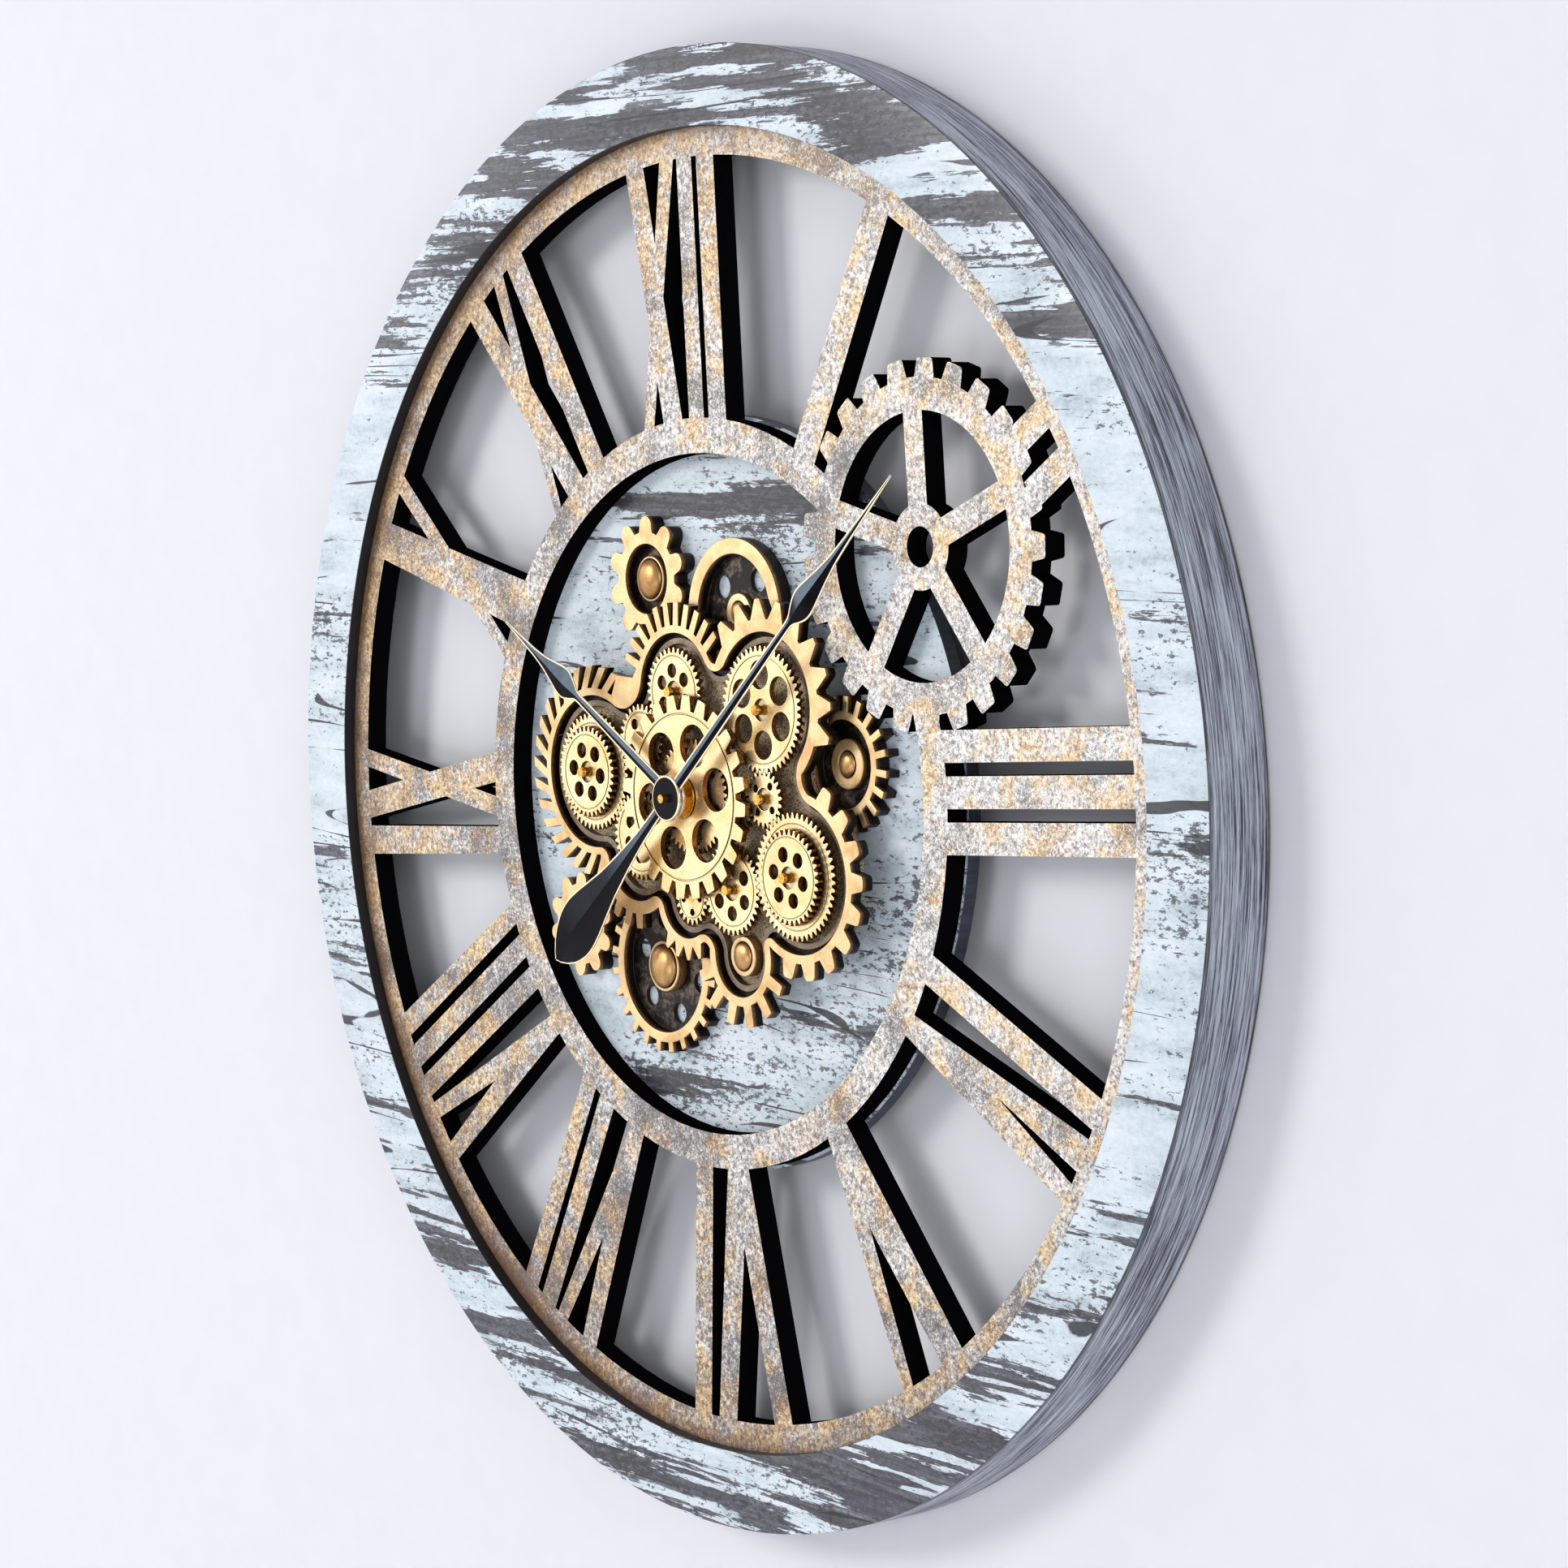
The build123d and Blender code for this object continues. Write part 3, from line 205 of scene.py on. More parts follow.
def wood_print(name, shift, reach=1.0, low=1.0, chipped=0.0):
    """Weathered pale blue boards: charcoal strips, wavy cracks along the grain and pepper-like chips.

    The strips are heavier at the top and bottom: reach brings those zones nearer the middle, low scales
    the bottom one, and chipped adds to the chips.
    """
    g = Graph(name)
    p = g.place(g.co, (1, 1, 1), (0, math.radians(-5), 0), shift)
    x, _, z = g.split(p)

    def grain(stretch, offset):
        """Coordinates drawn out along the boards."""
        return g.join(g.math("MULTIPLY", x, stretch), offset, z)

    def centred(value, gain):
        return g.math("MULTIPLY", g.math("SUBTRACT", value, 0.5), gain)

    side, _, height = g.split(g.place(g.co, (reach, reach, reach)))
    heavy_top = g.step(g.math("ADD", height, g.math("MULTIPLY", side, 0.15)), 0.11, 0.25)
    heavy_low = g.step(g.math("ADD", height, g.math("MULTIPLY", side, 0.16)), -0.10, -0.25)
    heavy = g.math("MAXIMUM", heavy_top, g.math("MULTIPLY", heavy_low, low))
    strips = g.noise(grain(0.075, 0.0), 66.0, 3.0, 0.55, 0.15)
    ragged = g.noise(grain(0.22, 0.4), 260.0, 5.0, 0.7)
    brushed = g.noise(grain(0.05, 0.8), 330.0, 4.0, 0.7)
    level = g.math("ADD", strips, g.math("MULTIPLY", heavy, 0.162))
    level = g.math("ADD", level, centred(ragged, 0.20))
    level = g.math("ADD", level, centred(brushed, 0.44))
    level = g.math("ADD", level, centred(g.noise(grain(0.09, 0.7), 120.0, 3.0, 0.6), 0.26))
    mask = g.step(level, 0.644, 0.662)
    # dry-brush chips gather in clusters, nearer to the strips
    cluster = g.noise(grain(0.5, 0.2), 22.0, 3.0, 0.6)
    chips = g.noise(grain(0.42, 0.6), 420.0, 5.0, 0.74)
    specks = g.math("ADD", chips, centred(cluster, 0.42))
    specks = g.math("ADD", specks, centred(strips, 0.30))
    specks = g.math("ADD", specks, g.math("ADD", g.math("MULTIPLY", heavy, 0.03), chipped))
    chip = g.step(specks, 0.592, 0.616)
    # cracks: contour lines of stretched noise, swelling and fading along their length
    wander = g.noise(grain(0.07, 0.3), 17.0, 2.0, 0.5, 0.15)
    line = g.math("ABSOLUTE", g.math("SUBTRACT", g.math("FRACT", g.math("MULTIPLY", wander, 17.0)), 0.5))
    swell = g.noise(grain(0.30, 0.9), 30.0, 3.0, 0.62)
    width = g.math("MULTIPLY", g.step(swell, 0.49, 0.64), g.step(swell, 0.45, 0.8, 0.05, 0.10))
    crack = g.step(g.math("SUBTRACT", line, g.math("ADD", width, centred(ragged, 0.03))), 0.012, -0.004)
    crack = g.math("MULTIPLY", crack, g.step(width, 0.002, 0.012))
    tint = g.noise(grain(0.25, 0.1), 90.0, 5.0, 0.6)
    wear = g.noise(grain(0.6, 0.5), 520.0, 4.0, 0.7)
    base = g.ramp(g.math("ADD", tint, centred(wear, 0.5)),
                  (0.30, srgb(168, 180, 188)), (0.44, srgb(199, 210, 217)),
                  (0.56, srgb(212, 222, 229)), (0.72, srgb(225, 232, 237)))
    grey = g.ramp(g.math("ADD", brushed, centred(wear, 0.5)),
                  (0.30, srgb(50, 48, 54)), (0.50, srgb(76, 74, 82)),
                  (0.66, srgb(106, 106, 114)), (0.78, srgb(150, 156, 164)))
    colour = g.mix(mask, base, grey)
    colour = g.mix(g.math("MULTIPLY", chip, 0.85), colour, srgb(50, 50, 57))
    colour = g.mix(g.math("MULTIPLY", crack, 0.94), colour, srgb(36, 36, 42))
    edge = g.ramp(brushed, (0.35, srgb(42, 46, 58)), (0.65, srgb(62, 67, 82)))
    # the back is bare fibreboard
    fibre = g.noise(g.place(g.co, (1, 1, 2.5)), 900.0, 5.0, 0.75)
    back = g.ramp(fibre, (0.36, srgb(38, 34, 32)), (0.50, srgb(60, 55, 50)), (0.64, srgb(98, 88, 78)))
    unprinted = g.mix(g.facing_front(-1.0), edge, back)
    colour = g.mix(g.facing_front(), unprinted, colour)
    g.set(Base_Color=colour, Roughness=g.step(wear, 0.3, 0.7, 0.40, 0.30), Specular_IOR_Level=0.4)
    relief = g.math("SUBTRACT", g.math("MULTIPLY", wear, 0.4), g.math("MAXIMUM", crack, chip))
    g.bump(relief, 0.10, 0.0003)
    return g.mat


def hoop_paint():
    """Blue-grey paint dragged round the rim: light streaks over charcoal, black at the front edge."""
    g = Graph("rim_paint")
    x, y, z = g.split(g.co)
    angle = g.math("ARCTAN2", z, x)

    def dragged(stretch, offset):
        return g.join(g.math("MULTIPLY", angle, stretch), y, offset)

    band = g.noise(dragged(0.030, 0.3), 130.0, 3.0, 0.55)
    streak = g.noise(dragged(0.0065, 0.0), 900.0, 4.0, 0.72)
    hair = g.noise(dragged(0.012, 0.6), 2600.0, 2.0, 0.6)
    fleck = g.noise(dragged(0.05, 0.9), 1500.0, 4.0, 0.7)
    v = g.math("ADD", g.math("MULTIPLY", streak, 0.60), g.math("MULTIPLY", band, 0.18))
    v = g.math("ADD", v, g.math("ADD", g.math("MULTIPLY", hair, 0.14), g.math("MULTIPLY", fleck, 0.08)))
    colour = g.ramp(v, (0.40, srgb(34, 34, 40)), (0.455, srgb(84, 86, 96)), (0.495, srgb(136, 140, 152)),
                    (0.535, srgb(166, 170, 183)), (0.60, srgb(190, 195, 206)))
    lip = g.step(y, CASE_FRONT + 0.0034, CASE_FRONT + 0.0006)
    rear = g.step(y, CASE_BACK - 0.0018, CASE_BACK - 0.0002)
    dark = g.math("MAXIMUM", g.math("MULTIPLY", lip, g.step(hair, 0.30, 0.62, 1.0, 0.55)), rear)
    colour = g.mix(dark, colour, srgb(30, 30, 36))
    g.set(Base_Color=colour, Roughness=0.5)
    g.bump(streak, 0.18, 0.0003)
    return g.mat


def black_edge():
    g = Graph("cut_edge_black")
    n = g.noise(g.co, 300.0, 4.0)
    g.set(Base_Color=g.ramp(n, (0.3, srgb(12, 12, 15)), (0.7, srgb(24, 25, 30))),
          Roughness=g.step(n, 0.3, 0.7, 0.42, 0.6))
    g.bump(n, 0.15, 0.0002)
    return g.mat


def distressed_plate():
    """Leafed sheet: granular gold and silver-grey with dark specks, browner at the rim; cut edges black."""
    g = Graph("distressed_gold")
    x, _, z = g.split(g.co)
    r = g.math("SQRT", g.math("ADD", g.math("MULTIPLY", x, x), g.math("MULTIPLY", z, z)))

    def centred(value, gain):
        return g.math("MULTIPLY", g.math("SUBTRACT", value, 0.5), gain)

    blotch = g.noise(g.co, 58.0, 7.0, 0.70, 0.5)
    shade = g.noise(g.place(g.co, shift=(0.7, 0, 0.2)), 30.0, 4.0, 0.6, 0.4)
    grain = g.noise(g.place(g.co, shift=(0.1, 0, 0.9)), 500.0, 6.0, 0.82, 0.3)
    pepper = g.noise(g.place(g.co, shift=(0.5, 0, 0.5)), 1000.0, 5.0, 0.82)
    # paler towards the right, darker at the bottom and a little at the top
    tone = g.math("ADD", g.step(z, -0.25, -0.08, -0.045, 0.0), g.step(z, 0.08, 0.25, 0.0, -0.012))
    fine = g.math("ADD", grain, g.math("ADD", tone, g.math("MULTIPLY", x, 0.09)))
    gold = g.ramp(fine, (0.37, srgb(112, 90, 76)), (0.45, srgb(192, 158, 118)),
                  (0.52, srgb(234, 202, 152)), (0.62, srgb(250, 232, 202)))
    silver = g.ramp(fine, (0.36, srgb(90, 87, 92)), (0.45, srgb(152, 147, 144)),
                    (0.51, srgb(214, 209, 205)), (0.60, srgb(250, 248, 246)))
    # the gold is stronger towards the rim and on the left side
    lean = g.math("ADD", g.step(r, 0.13, 0.27, -0.016, 0.040), g.math("MULTIPLY", x, -0.15))
    pick = g.math("ADD", g.math("ADD", blotch, lean), centred(pepper, 0.70))
    colour = g.mix(g.step(pick, 0.46, 0.59), silver, gold)
    # the specks are denser on the left and round the inner ring
    dense = g.math("ADD", g.math("MULTIPLY", x, -0.13), g.step(r, 0.14, 0.17, 0.030, 0.0))
    rough = g.math("ADD", centred(pepper, 1.25), centred(grain, 0.4))
    dark = g.step(g.math("ADD", g.math("ADD", shade, dense), rough), 0.55, 0.66)
    colour = g.mix(g.math("MULTIPLY", dark, 0.80), colour, srgb(82, 76, 80))
    # browner towards the rim, most on the left
    rim_brown = g.math("ADD", g.step(r, 0.262, 0.274), g.math("MULTIPLY", g.step(r, 0.22, 0.27), 0.35))
    rim_brown = g.math("MULTIPLY", rim_brown, g.step(g.math("MULTIPLY", x, -1.0), -0.26, 0.16, 0.06, 1.0))
    rim_brown = g.math("MULTIPLY", rim_brown, g.step(grain, 0.35, 0.65, 1.0, 0.72), clamp=True)
    colour = g.mix(g.math("MULTIPLY", rim_brown, 0.78), colour, srgb(120, 84, 54))
    front = g.facing_front()
    colour = g.mix(front, srgb(9, 9, 11), colour)
    g.set(Base_Color=colour, Metallic=g.math("MULTIPLY", front, 0.12),
          Specular_IOR_Level=g.math("MULTIPLY", front, 0.5),
          Roughness=g.step(grain, 0.3, 0.7, 0.36, 0.50))
    g.bump(g.math("ADD", grain, g.math("MULTIPLY", pepper, 0.4)), 0.18, 0.0003)
    return g.mat


def aged_gold(name, front_y, depth=0.005):
    """Satin champagne gold on the front face and dark bronze in sunk dishes; brushed bronze side walls painted
    darker with depth as shade, and painted shade in gaps.
    """
    g = Graph(name)
    front = g.facing_front()
    y = g.split(g.co)[1]
    # distance below the front face: it paints the side walls darker as shade
    depth_shade = g.step(y, front_y + 0.0002, front_y + depth)
    brush = g.noise(g.place(g.co, (1.0, 7.0, 1.0)), 420.0, 5.0, 0.65)
    cloud = g.noise(g.co, 70.0, 5.0, 0.6, 0.5)
    sand = g.noise(g.co, 1300.0, 3.0, 0.7)
    face = g.ramp(cloud, (0.32, srgb(210, 170, 118)), (0.5, srgb(236, 202, 150)),
                  (0.7, srgb(246, 218, 170)))
    face = g.mix(g.math("MULTIPLY", g.step(sand, 0.52, 0.72), 0.35), face, srgb(176, 132, 84))
    streaks = g.math("MULTIPLY", g.math("SUBTRACT", brush, 0.5), 0.8)
    rub = g.step(g.math("ADD", cloud, streaks), 0.44, 0.72)
    dish = g.mix(rub, srgb(34, 30, 30), srgb(118, 104, 90))
    face = g.mix(g.step(y, front_y + 0.0012, front_y + 0.0020), face, dish)
    # side walls: brushed dark bronze, painted darker with depth below the front face as shade
    side = g.ramp(g.math("ADD", depth_shade, g.math("MULTIPLY", g.math("SUBTRACT", brush, 0.5), 1.1)),
                  (0.0, srgb(164, 118, 72)), (0.22, srgb(74, 48, 31)), (0.50, srgb(20, 14, 12)))
    colour = g.mix(front, side, face)
    # painted shade in corners and gaps
    unshaded = g.crevice_shade(0.004, 0.34, 0.92)
    colour = g.mix(unshaded, srgb(34, 21, 14), colour)
    g.set(Base_Color=colour, Metallic=g.math("ADD", 0.5, g.math("MULTIPLY", front, 0.3)),
          Roughness=g.step(sand, 0.3, 0.7, 0.36, 0.48))
    g.bump(g.math("ADD", sand, cloud), 0.14, 0.0002)
    return g.mat


def dark_bronze(name, light=0.5):
    """Dark bronze recess; its ridges are lightened for rubbed wear and a painted highlight, and its gaps carry
    painted shade.
    """
    g = Graph(name)
    cloud = g.noise(g.co, 90.0, 6.0, 0.65, 0.4)
    rub = g.noise(g.co, 500.0, 5.0, 0.7)
    sand = g.noise(g.co, 1500.0, 4.0, 0.75)
    fine = g.math("ADD", g.math("MULTIPLY", rub, 0.3), g.math("MULTIPLY", sand, 0.3))
    v = g.math("ADD", g.math("MULTIPLY", cloud, 0.4), fine)
    colour = g.ramp(v, (0.40, srgb(24, 20, 19)), (0.50, srgb(74, 62, 54)), (0.60, srgb(150, 128, 104)))
    # ridges: lighter for rubbed wear, partly a painted highlight
    ridge = g.math("MULTIPLY", g.edge_wear_and_highlight(0.505, 0.56), light)
    colour = g.mix(ridge, colour, srgb(176, 156, 132))
    # painted shade in corners and gaps
    colour = g.mix(g.crevice_shade(0.005, 0.25, 0.8), srgb(10, 8, 8), colour)
    g.set(Base_Color=colour, Metallic=0.75, Roughness=g.step(rub, 0.3, 0.7, 0.34, 0.52))
    g.bump(v, 0.2, 0.0003)
    return g.mat


def floor_bronze():
    """Stippled khaki-bronze ground of the gear housing, with painted shade round the gears."""
    g = Graph("stippled_ground")
    dots = g.cells(g.co, 1500.0)
    cloud = g.noise(g.co, 60.0, 5.0, 0.6)
    colour = g.ramp(cloud, (0.3, srgb(150, 130, 100)), (0.5, srgb(196, 174, 138)),
                    (0.72, srgb(224, 204, 168)))
    colour = g.mix(g.step(dots, 0.3, 0.8), colour, srgb(110, 92, 68))
    # painted shade in corners and under the gears
    colour = g.mix(g.crevice_shade(0.005, 0.03, 0.50), srgb(30, 20, 13), colour)
    g.set(Base_Color=colour, Metallic=0.3, Roughness=0.5)
    g.bump(dots, 0.6, 0.0004)
    return g.mat


def polished_gear():
    """Bright pale gold of the turning gears; painted shade makes the side walls and the gaps between the teeth
    warm brown.
    """
    g = Graph("polished_pale_gold")
    cloud = g.noise(g.co, 60.0, 4.0, 0.55, 0.4)
    brush = g.noise(g.place(g.co, (1, 4, 1)), 900.0, 4.0, 0.6)
    colour = g.ramp(cloud, (0.34, srgb(228, 196, 138)), (0.5, srgb(242, 216, 164)),
                    (0.68, srgb(248, 228, 184)))
    colour = g.mix(g.math("MULTIPLY", g.step(brush, 0.54, 0.7), 0.25), colour, srgb(196, 150, 90))
    # side walls: a darker brown copy of the gold, painted as shade
    side = g.mix(g.step(brush, 0.4, 0.65), srgb(108, 66, 30), srgb(176, 122, 62))
    colour = g.mix(g.facing_front(), side, colour)
    # painted shade between the teeth and under other parts
    colour = g.mix(g.crevice_shade(0.0035, 0.30, 0.90), srgb(58, 32, 14), colour)
    g.set(Base_Color=colour, Metallic=0.82, Roughness=g.step(brush, 0.3, 0.7, 0.22, 0.32))
    g.bump(g.math("ADD", brush, cloud), 0.06, 0.0002)
    return g.mat


def cast_copper():
    """Copper-bronze of the domed caps, with painted shade in their crevices."""
    g = Graph("copper_bronze")
    cloud = g.noise(g.co, 120.0, 6.0, 0.6, 0.4)
    rub = g.noise(g.co, 700.0, 4.0, 0.7)
    colour = g.ramp(cloud, (0.3, srgb(148, 106, 62)), (0.5, srgb(190, 146, 92)),
                    (0.72, srgb(220, 180, 126)))
    # painted shade at the foot of the dome and in gaps
    colour = g.mix(g.crevice_shade(0.004, 0.3, 0.9), srgb(36, 24, 16), colour)
    g.set(Base_Color=colour, Metallic=0.85, Roughness=g.step(rub, 0.3, 0.7, 0.30, 0.42))
    g.bump(rub, 0.1, 0.0002)
    return g.mat


def brass():
    g = Graph("turned_brass")
    n = g.noise(g.place(g.co, (1, 6, 1)), 800.0, 4.0)
    g.set(Base_Color=g.ramp(n, (0.3, srgb(196, 138, 50)), (0.7, srgb(236, 190, 96))), Metallic=0.95,
          Roughness=g.step(n, 0.3, 0.7, 0.16, 0.28))
    g.bump(n, 0.08, 0.0002)
    return g.mat


def gunmetal(name, fade_from, fade_to):
    """Black lacquer; facets that lean upwards carry a painted cool sheen that stands in for a reflection, gone
    beyond a distance from the hub.
    """
    g = Graph(name)
    n = g.noise(g.co, 260.0, 4.0, 0.6)
    x, _, z = g.split(g.nodes.new("ShaderNodeNewGeometry").outputs["True Normal"])
    lean = g.math("ADD", z, g.math("MULTIPLY", x, 0.25))
    out_x, _, out_z = g.split(g.co)
    r = g.math("SQRT", g.math("ADD", g.math("MULTIPLY", out_x, out_x), g.math("MULTIPLY", out_z, out_z)))
    # painted reflection: blue-grey sheen on facets that lean upwards, chosen by their normal
    lit = g.math("MULTIPLY", g.step(lean, 0.04, 0.15), g.step(n, 0.2, 0.8, 0.75, 1.0))
    lit = g.math("MULTIPLY", lit, g.step(r, fade_from, fade_to, 1.0, 0.10))
    colour = g.mix(lit, g.ramp(n, (0.3, srgb(11, 9, 14)), (0.7, srgb(19, 16, 23))), srgb(104, 118, 132))
    g.set(Base_Color=colour, Metallic=0.0, Specular_IOR_Level=0.05,
          Roughness=g.step(n, 0.3, 0.7, 0.17, 0.26))
    g.bump(n, 0.05, 0.0001)
    return g.mat


def pale_edge():
    g = Graph("pale_gold_edge")
    n = g.noise(g.co, 300.0, 3.0)
    g.set(Base_Color=g.ramp(n, (0.3, srgb(224, 200, 160)), (0.7, srgb(246, 232, 206))), Metallic=0.8,
          Roughness=0.25)
    return g.mat


def plastic(name, colour, rough):
    """Moulded plastic with a fine spark-eroded grain."""
    g = Graph(name)
    n = g.noise(g.co, 1600.0, 3.0)
    dark = tuple(c * 0.75 for c in colour[:3]) + (1.0,)
    g.set(Base_Color=g.ramp(n, (0.3, dark), (0.7, colour)),
          Roughness=g.step(n, 0.3, 0.7, rough - 0.06, rough + 0.06))
    g.bump(n, 0.12, 0.0001)
    return g.mat


def zinc():
    g = Graph("zinc_steel")
    n = g.noise(g.place(g.co, (1, 3, 1)), 500.0, 5.0)
    g.set(Base_Color=g.ramp(n, (0.3, srgb(150, 150, 152)), (0.7, srgb(196, 197, 200))), Metallic=0.9,
          Roughness=g.step(n, 0.3, 0.7, 0.26, 0.42))
    g.bump(n, 0.08, 0.0002)
    return g.mat


def cell_sleeve():
    """Plain green cell sleeve."""
    g = Graph("cell_sleeve")
    n = g.noise(g.co, 300.0, 2.0)
    g.set(Base_Color=g.ramp(n, (0.3, srgb(20, 66, 46)), (0.7, srgb(30, 92, 62))),
          Metallic=0.3, Roughness=0.3)
    return g.mat


def circuit():
    g = Graph("circuit_board")
    n = g.cells(g.co, 500.0)
    g.set(Base_Color=g.ramp(n, (0.2, srgb(24, 84, 44)), (0.6, srgb(40, 120, 62))), Roughness=0.45)
    return g.mat


def studio_surface(name, colour, clear_beyond=None):
    """Pale painted surface; with clear_beyond it vanishes when the camera is past that y."""
    g = Graph(name)
    n = g.noise(g.co, 60.0, 4.0)
    shade = tuple(c * 0.985 for c in colour[:3]) + (1.0,)
    g.set(Base_Color=g.mix(g.step(n, 0.3, 0.7), colour, shade), Roughness=0.8)
    if clear_beyond is not None:
        eye = g.nodes.new("ShaderNodeVectorTransform")
        eye.vector_type = "POINT"
        eye.convert_from = "CAMERA"
        eye.convert_to = "WORLD"
        eye.inputs[0].default_value = (0.0, 0.0, 0.0)
        behind = g.math("GREATER_THAN", g.split(eye.outputs[0])[1], clear_beyond)
        clear = g.nodes.new("ShaderNodeBsdfTransparent")
        mixer = g.nodes.new("ShaderNodeMixShader")
        g.put(mixer.inputs[0], behind)
        g.links.new(g.bsdf.outputs[0], mixer.inputs[1])
        g.links.new(clear.outputs[0], mixer.inputs[2])
        g.links.new(mixer.outputs[0], g.out.inputs["Surface"])
    return g.mat


WOOD = wood_print("weathered_print", (0, 0, 0))
WOOD_DISC = wood_print("weathered_print_disc", (0.11, 0, 0.43), 1.8, 0.2, 0.022)
HOOP = hoop_paint()
BLACK = black_edge()
PLATE = distressed_plate()
GOLD = aged_gold("aged_gold", CASE_FRONT)
# front set far off, so the painted depth shade and the dark dish of aged_gold stay off the collars
COLLAR = aged_gold("collar_gold", 1.0)   # no part of a collar is deep enough to darken
GOLD_LOW = aged_gold("aged_gold_low", span("ornament_top_gear", 1)[0])
BRONZE = dark_bronze("dark_bronze", 0.75)
GROUND = floor_bronze()
GEAR = polished_gear()
COPPER = cast_copper()
BRASS = brass()
GUN = gunmetal("gunmetal", 0.2, 0.3)
GUN_TAIL = gunmetal("gunmetal_tail", 0.030, 0.062)
EDGE = pale_edge()
BLACK_PLASTIC = plastic("black_plastic", srgb(34, 34, 36), 0.5)
GREY_PLASTIC = plastic("grey_plastic", srgb(120, 121, 124), 0.4)
ZINC = zinc()
CELL = cell_sleeve()
BOARD = circuit()

PAINT = {
    "face_ring": WOOD, "side_hoop": HOOP, "numeral_plate": PLATE, "centre_disc": WOOD_DISC,
    "bezel": GOLD, "channel_liner": BRONZE, "floor_plate": GROUND,
    "large_caps": COPPER, "small_caps": COPPER, "hour_hand": GUN, "minute_hand": GUN,
    "movement_case": BLACK_PLASTIC, "movement_lid": BLACK_PLASTIC, "cell_cover": BLACK_PLASTIC,
    "cell_holder": BLACK_PLASTIC, "holder_cover": BLACK_PLASTIC, "switch_body": BLACK_PLASTIC,
    "setting_wheel": GREY_PLASTIC, "motor_case": GREY_PLASTIC, "switch_slider": GREY_PLASTIC,
    "quartz_board": BOARD, "quartz_coil": COPPER, "aa_cells": CELL,
}
for part in ("top_gear", "top_ring", "side_gear", "bottom_gear", "corner_gear"):
    PAINT["ornament_" + part] = GOLD_LOW
for part in ("centre_gear", "centre_fine_gear", "left_gear", "left_top_gear", "low_right_gear",
             "low_right_top_gear", "low_left_gear", "left_idler", "up_left_gear", "up_right_gear",
             "right_pinion", "hidden_idler", "lower_gear", "drive_pinion"):
    PAINT[part] = GEAR
for part in ("centre_sleeve", "axle_pins", "movement_bush", "centre_washer", "centre_nut", "hour_pipe",
             "minute_arbor", "standoffs", "motor_shaft"):
    PAINT[part] = BRASS
for part in ("disc_screws", "hanger_plate", "hanger_screws", "housing_rivets", "standoff_screws",
             "ornament_screws", "cell_contacts", "motor_can"):
    PAINT[part] = ZINC


def paint_nodes():
    for name, obj in NODES.items():
        obj.data.materials.clear()
        obj.data.materials.append(PAINT[name])


def soften(name, width):
    """Rounds the sharp edges of a CAD node with modifiers, leaving its mesh as it is."""
    obj = NODES[name]
    weld = obj.modifiers.new("weld", "WELD")
    weld.merge_threshold = 1e-6
    bevel = obj.modifiers.new("bevel", "BEVEL")
    bevel.width = width
    bevel.segments = 2
    bevel.limit_method = "ANGLE"
    bevel.angle_limit = math.radians(40)
    bevel.harden_normals = False
    normal = obj.modifiers.new("normals", "WEIGHTED_NORMAL")
    normal.keep_sharp = False


paint_nodes()
SOFT = {"bezel": 0.45, "channel_liner": 0.5, "numeral_plate": 0.35, "centre_gear": 0.25}
for part in ("top_gear", "top_ring", "side_gear", "bottom_gear", "corner_gear"):
    SOFT["ornament_" + part] = 0.4
for part in ("left_top_gear", "low_right_top_gear", "left_gear", "low_right_gear", "low_left_gear",
             "left_idler", "up_left_gear", "up_right_gear", "right_pinion", "lower_gear", "drive_pinion",
             "centre_fine_gear"):
    SOFT[part] = 0.12
for part in ("movement_case", "movement_lid", "cell_cover", "cell_holder", "holder_cover", "motor_case",
             "switch_body", "switch_slider", "hanger_plate", "setting_wheel"):
    SOFT[part] = 0.35
for part, width in SOFT.items():
    soften(part, width * MM)


# ---------------------------------------------------------------- pieces built here

def add_mesh(name, verts, faces, materials, body, replaced=(), picks=None, crease=32):
    """New piece from vertices and faces that rides on a CAD body and stands for CAD nodes."""
    mesh = bpy.data.meshes.new(name)
    mesh.from_pydata([tuple(v) for v in verts], [], faces)
    for m in materials:
        mesh.materials.append(m)
    if picks:
        for poly, k in zip(mesh.polygons, picks):
            poly.material_index = k
    mesh.validate()
    bm = bmesh.new()
    bm.from_mesh(mesh)
    bmesh.ops.remove_doubles(bm, verts=bm.verts, dist=1e-7)
    bmesh.ops.recalc_face_normals(bm, faces=bm.faces)
    bm.to_mesh(mesh)
    bm.free()
    obj = bpy.data.objects.new(name, mesh)
    bpy.context.scene.collection.objects.link(obj)
    mesh.shade_smooth()
    mesh.set_sharp_from_angle(angle=math.radians(crease))
    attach(obj, body)
    if replaced:
        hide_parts(*replaced)
    return obj


def lathe(profile, x=0.0, z=0.0, segments=96):
    """Vertices and faces of a closed profile [(radius, y), ...] turned about Y through (x, z)."""
    verts, faces = [], []
    n = len(profile)
    for i in range(segments):
        a = TAU * i / segments
        for r, y in profile:
            verts.append((x + r * math.cos(a), y, z + r * math.sin(a)))
    for i in range(segments):
        j = (i + 1) % segments
        for k in range(n):
            m = (k + 1) % n
            faces.append((i * n + k, i * n + m, j * n + m, j * n + k))
    return verts, faces


def rounded(corners, r, steps=3):
    """Closed profile with each corner replaced by a small arc of radius r."""
    out = []
    n = len(corners)
    for i in range(n):
        p, c, q = Vector(corners[i - 1]), Vector(corners[i]), Vector(corners[(i + 1) % n])
        a = c + (p - c).normalized() * r
        b = c + (q - c).normalized() * r
        for k in range(steps + 1):
            t = k / steps
            out.append(tuple(a * (1 - t) ** 2 + c * 2 * t * (1 - t) + b * t * t))
    return out


CASE_SEGMENTS = 720


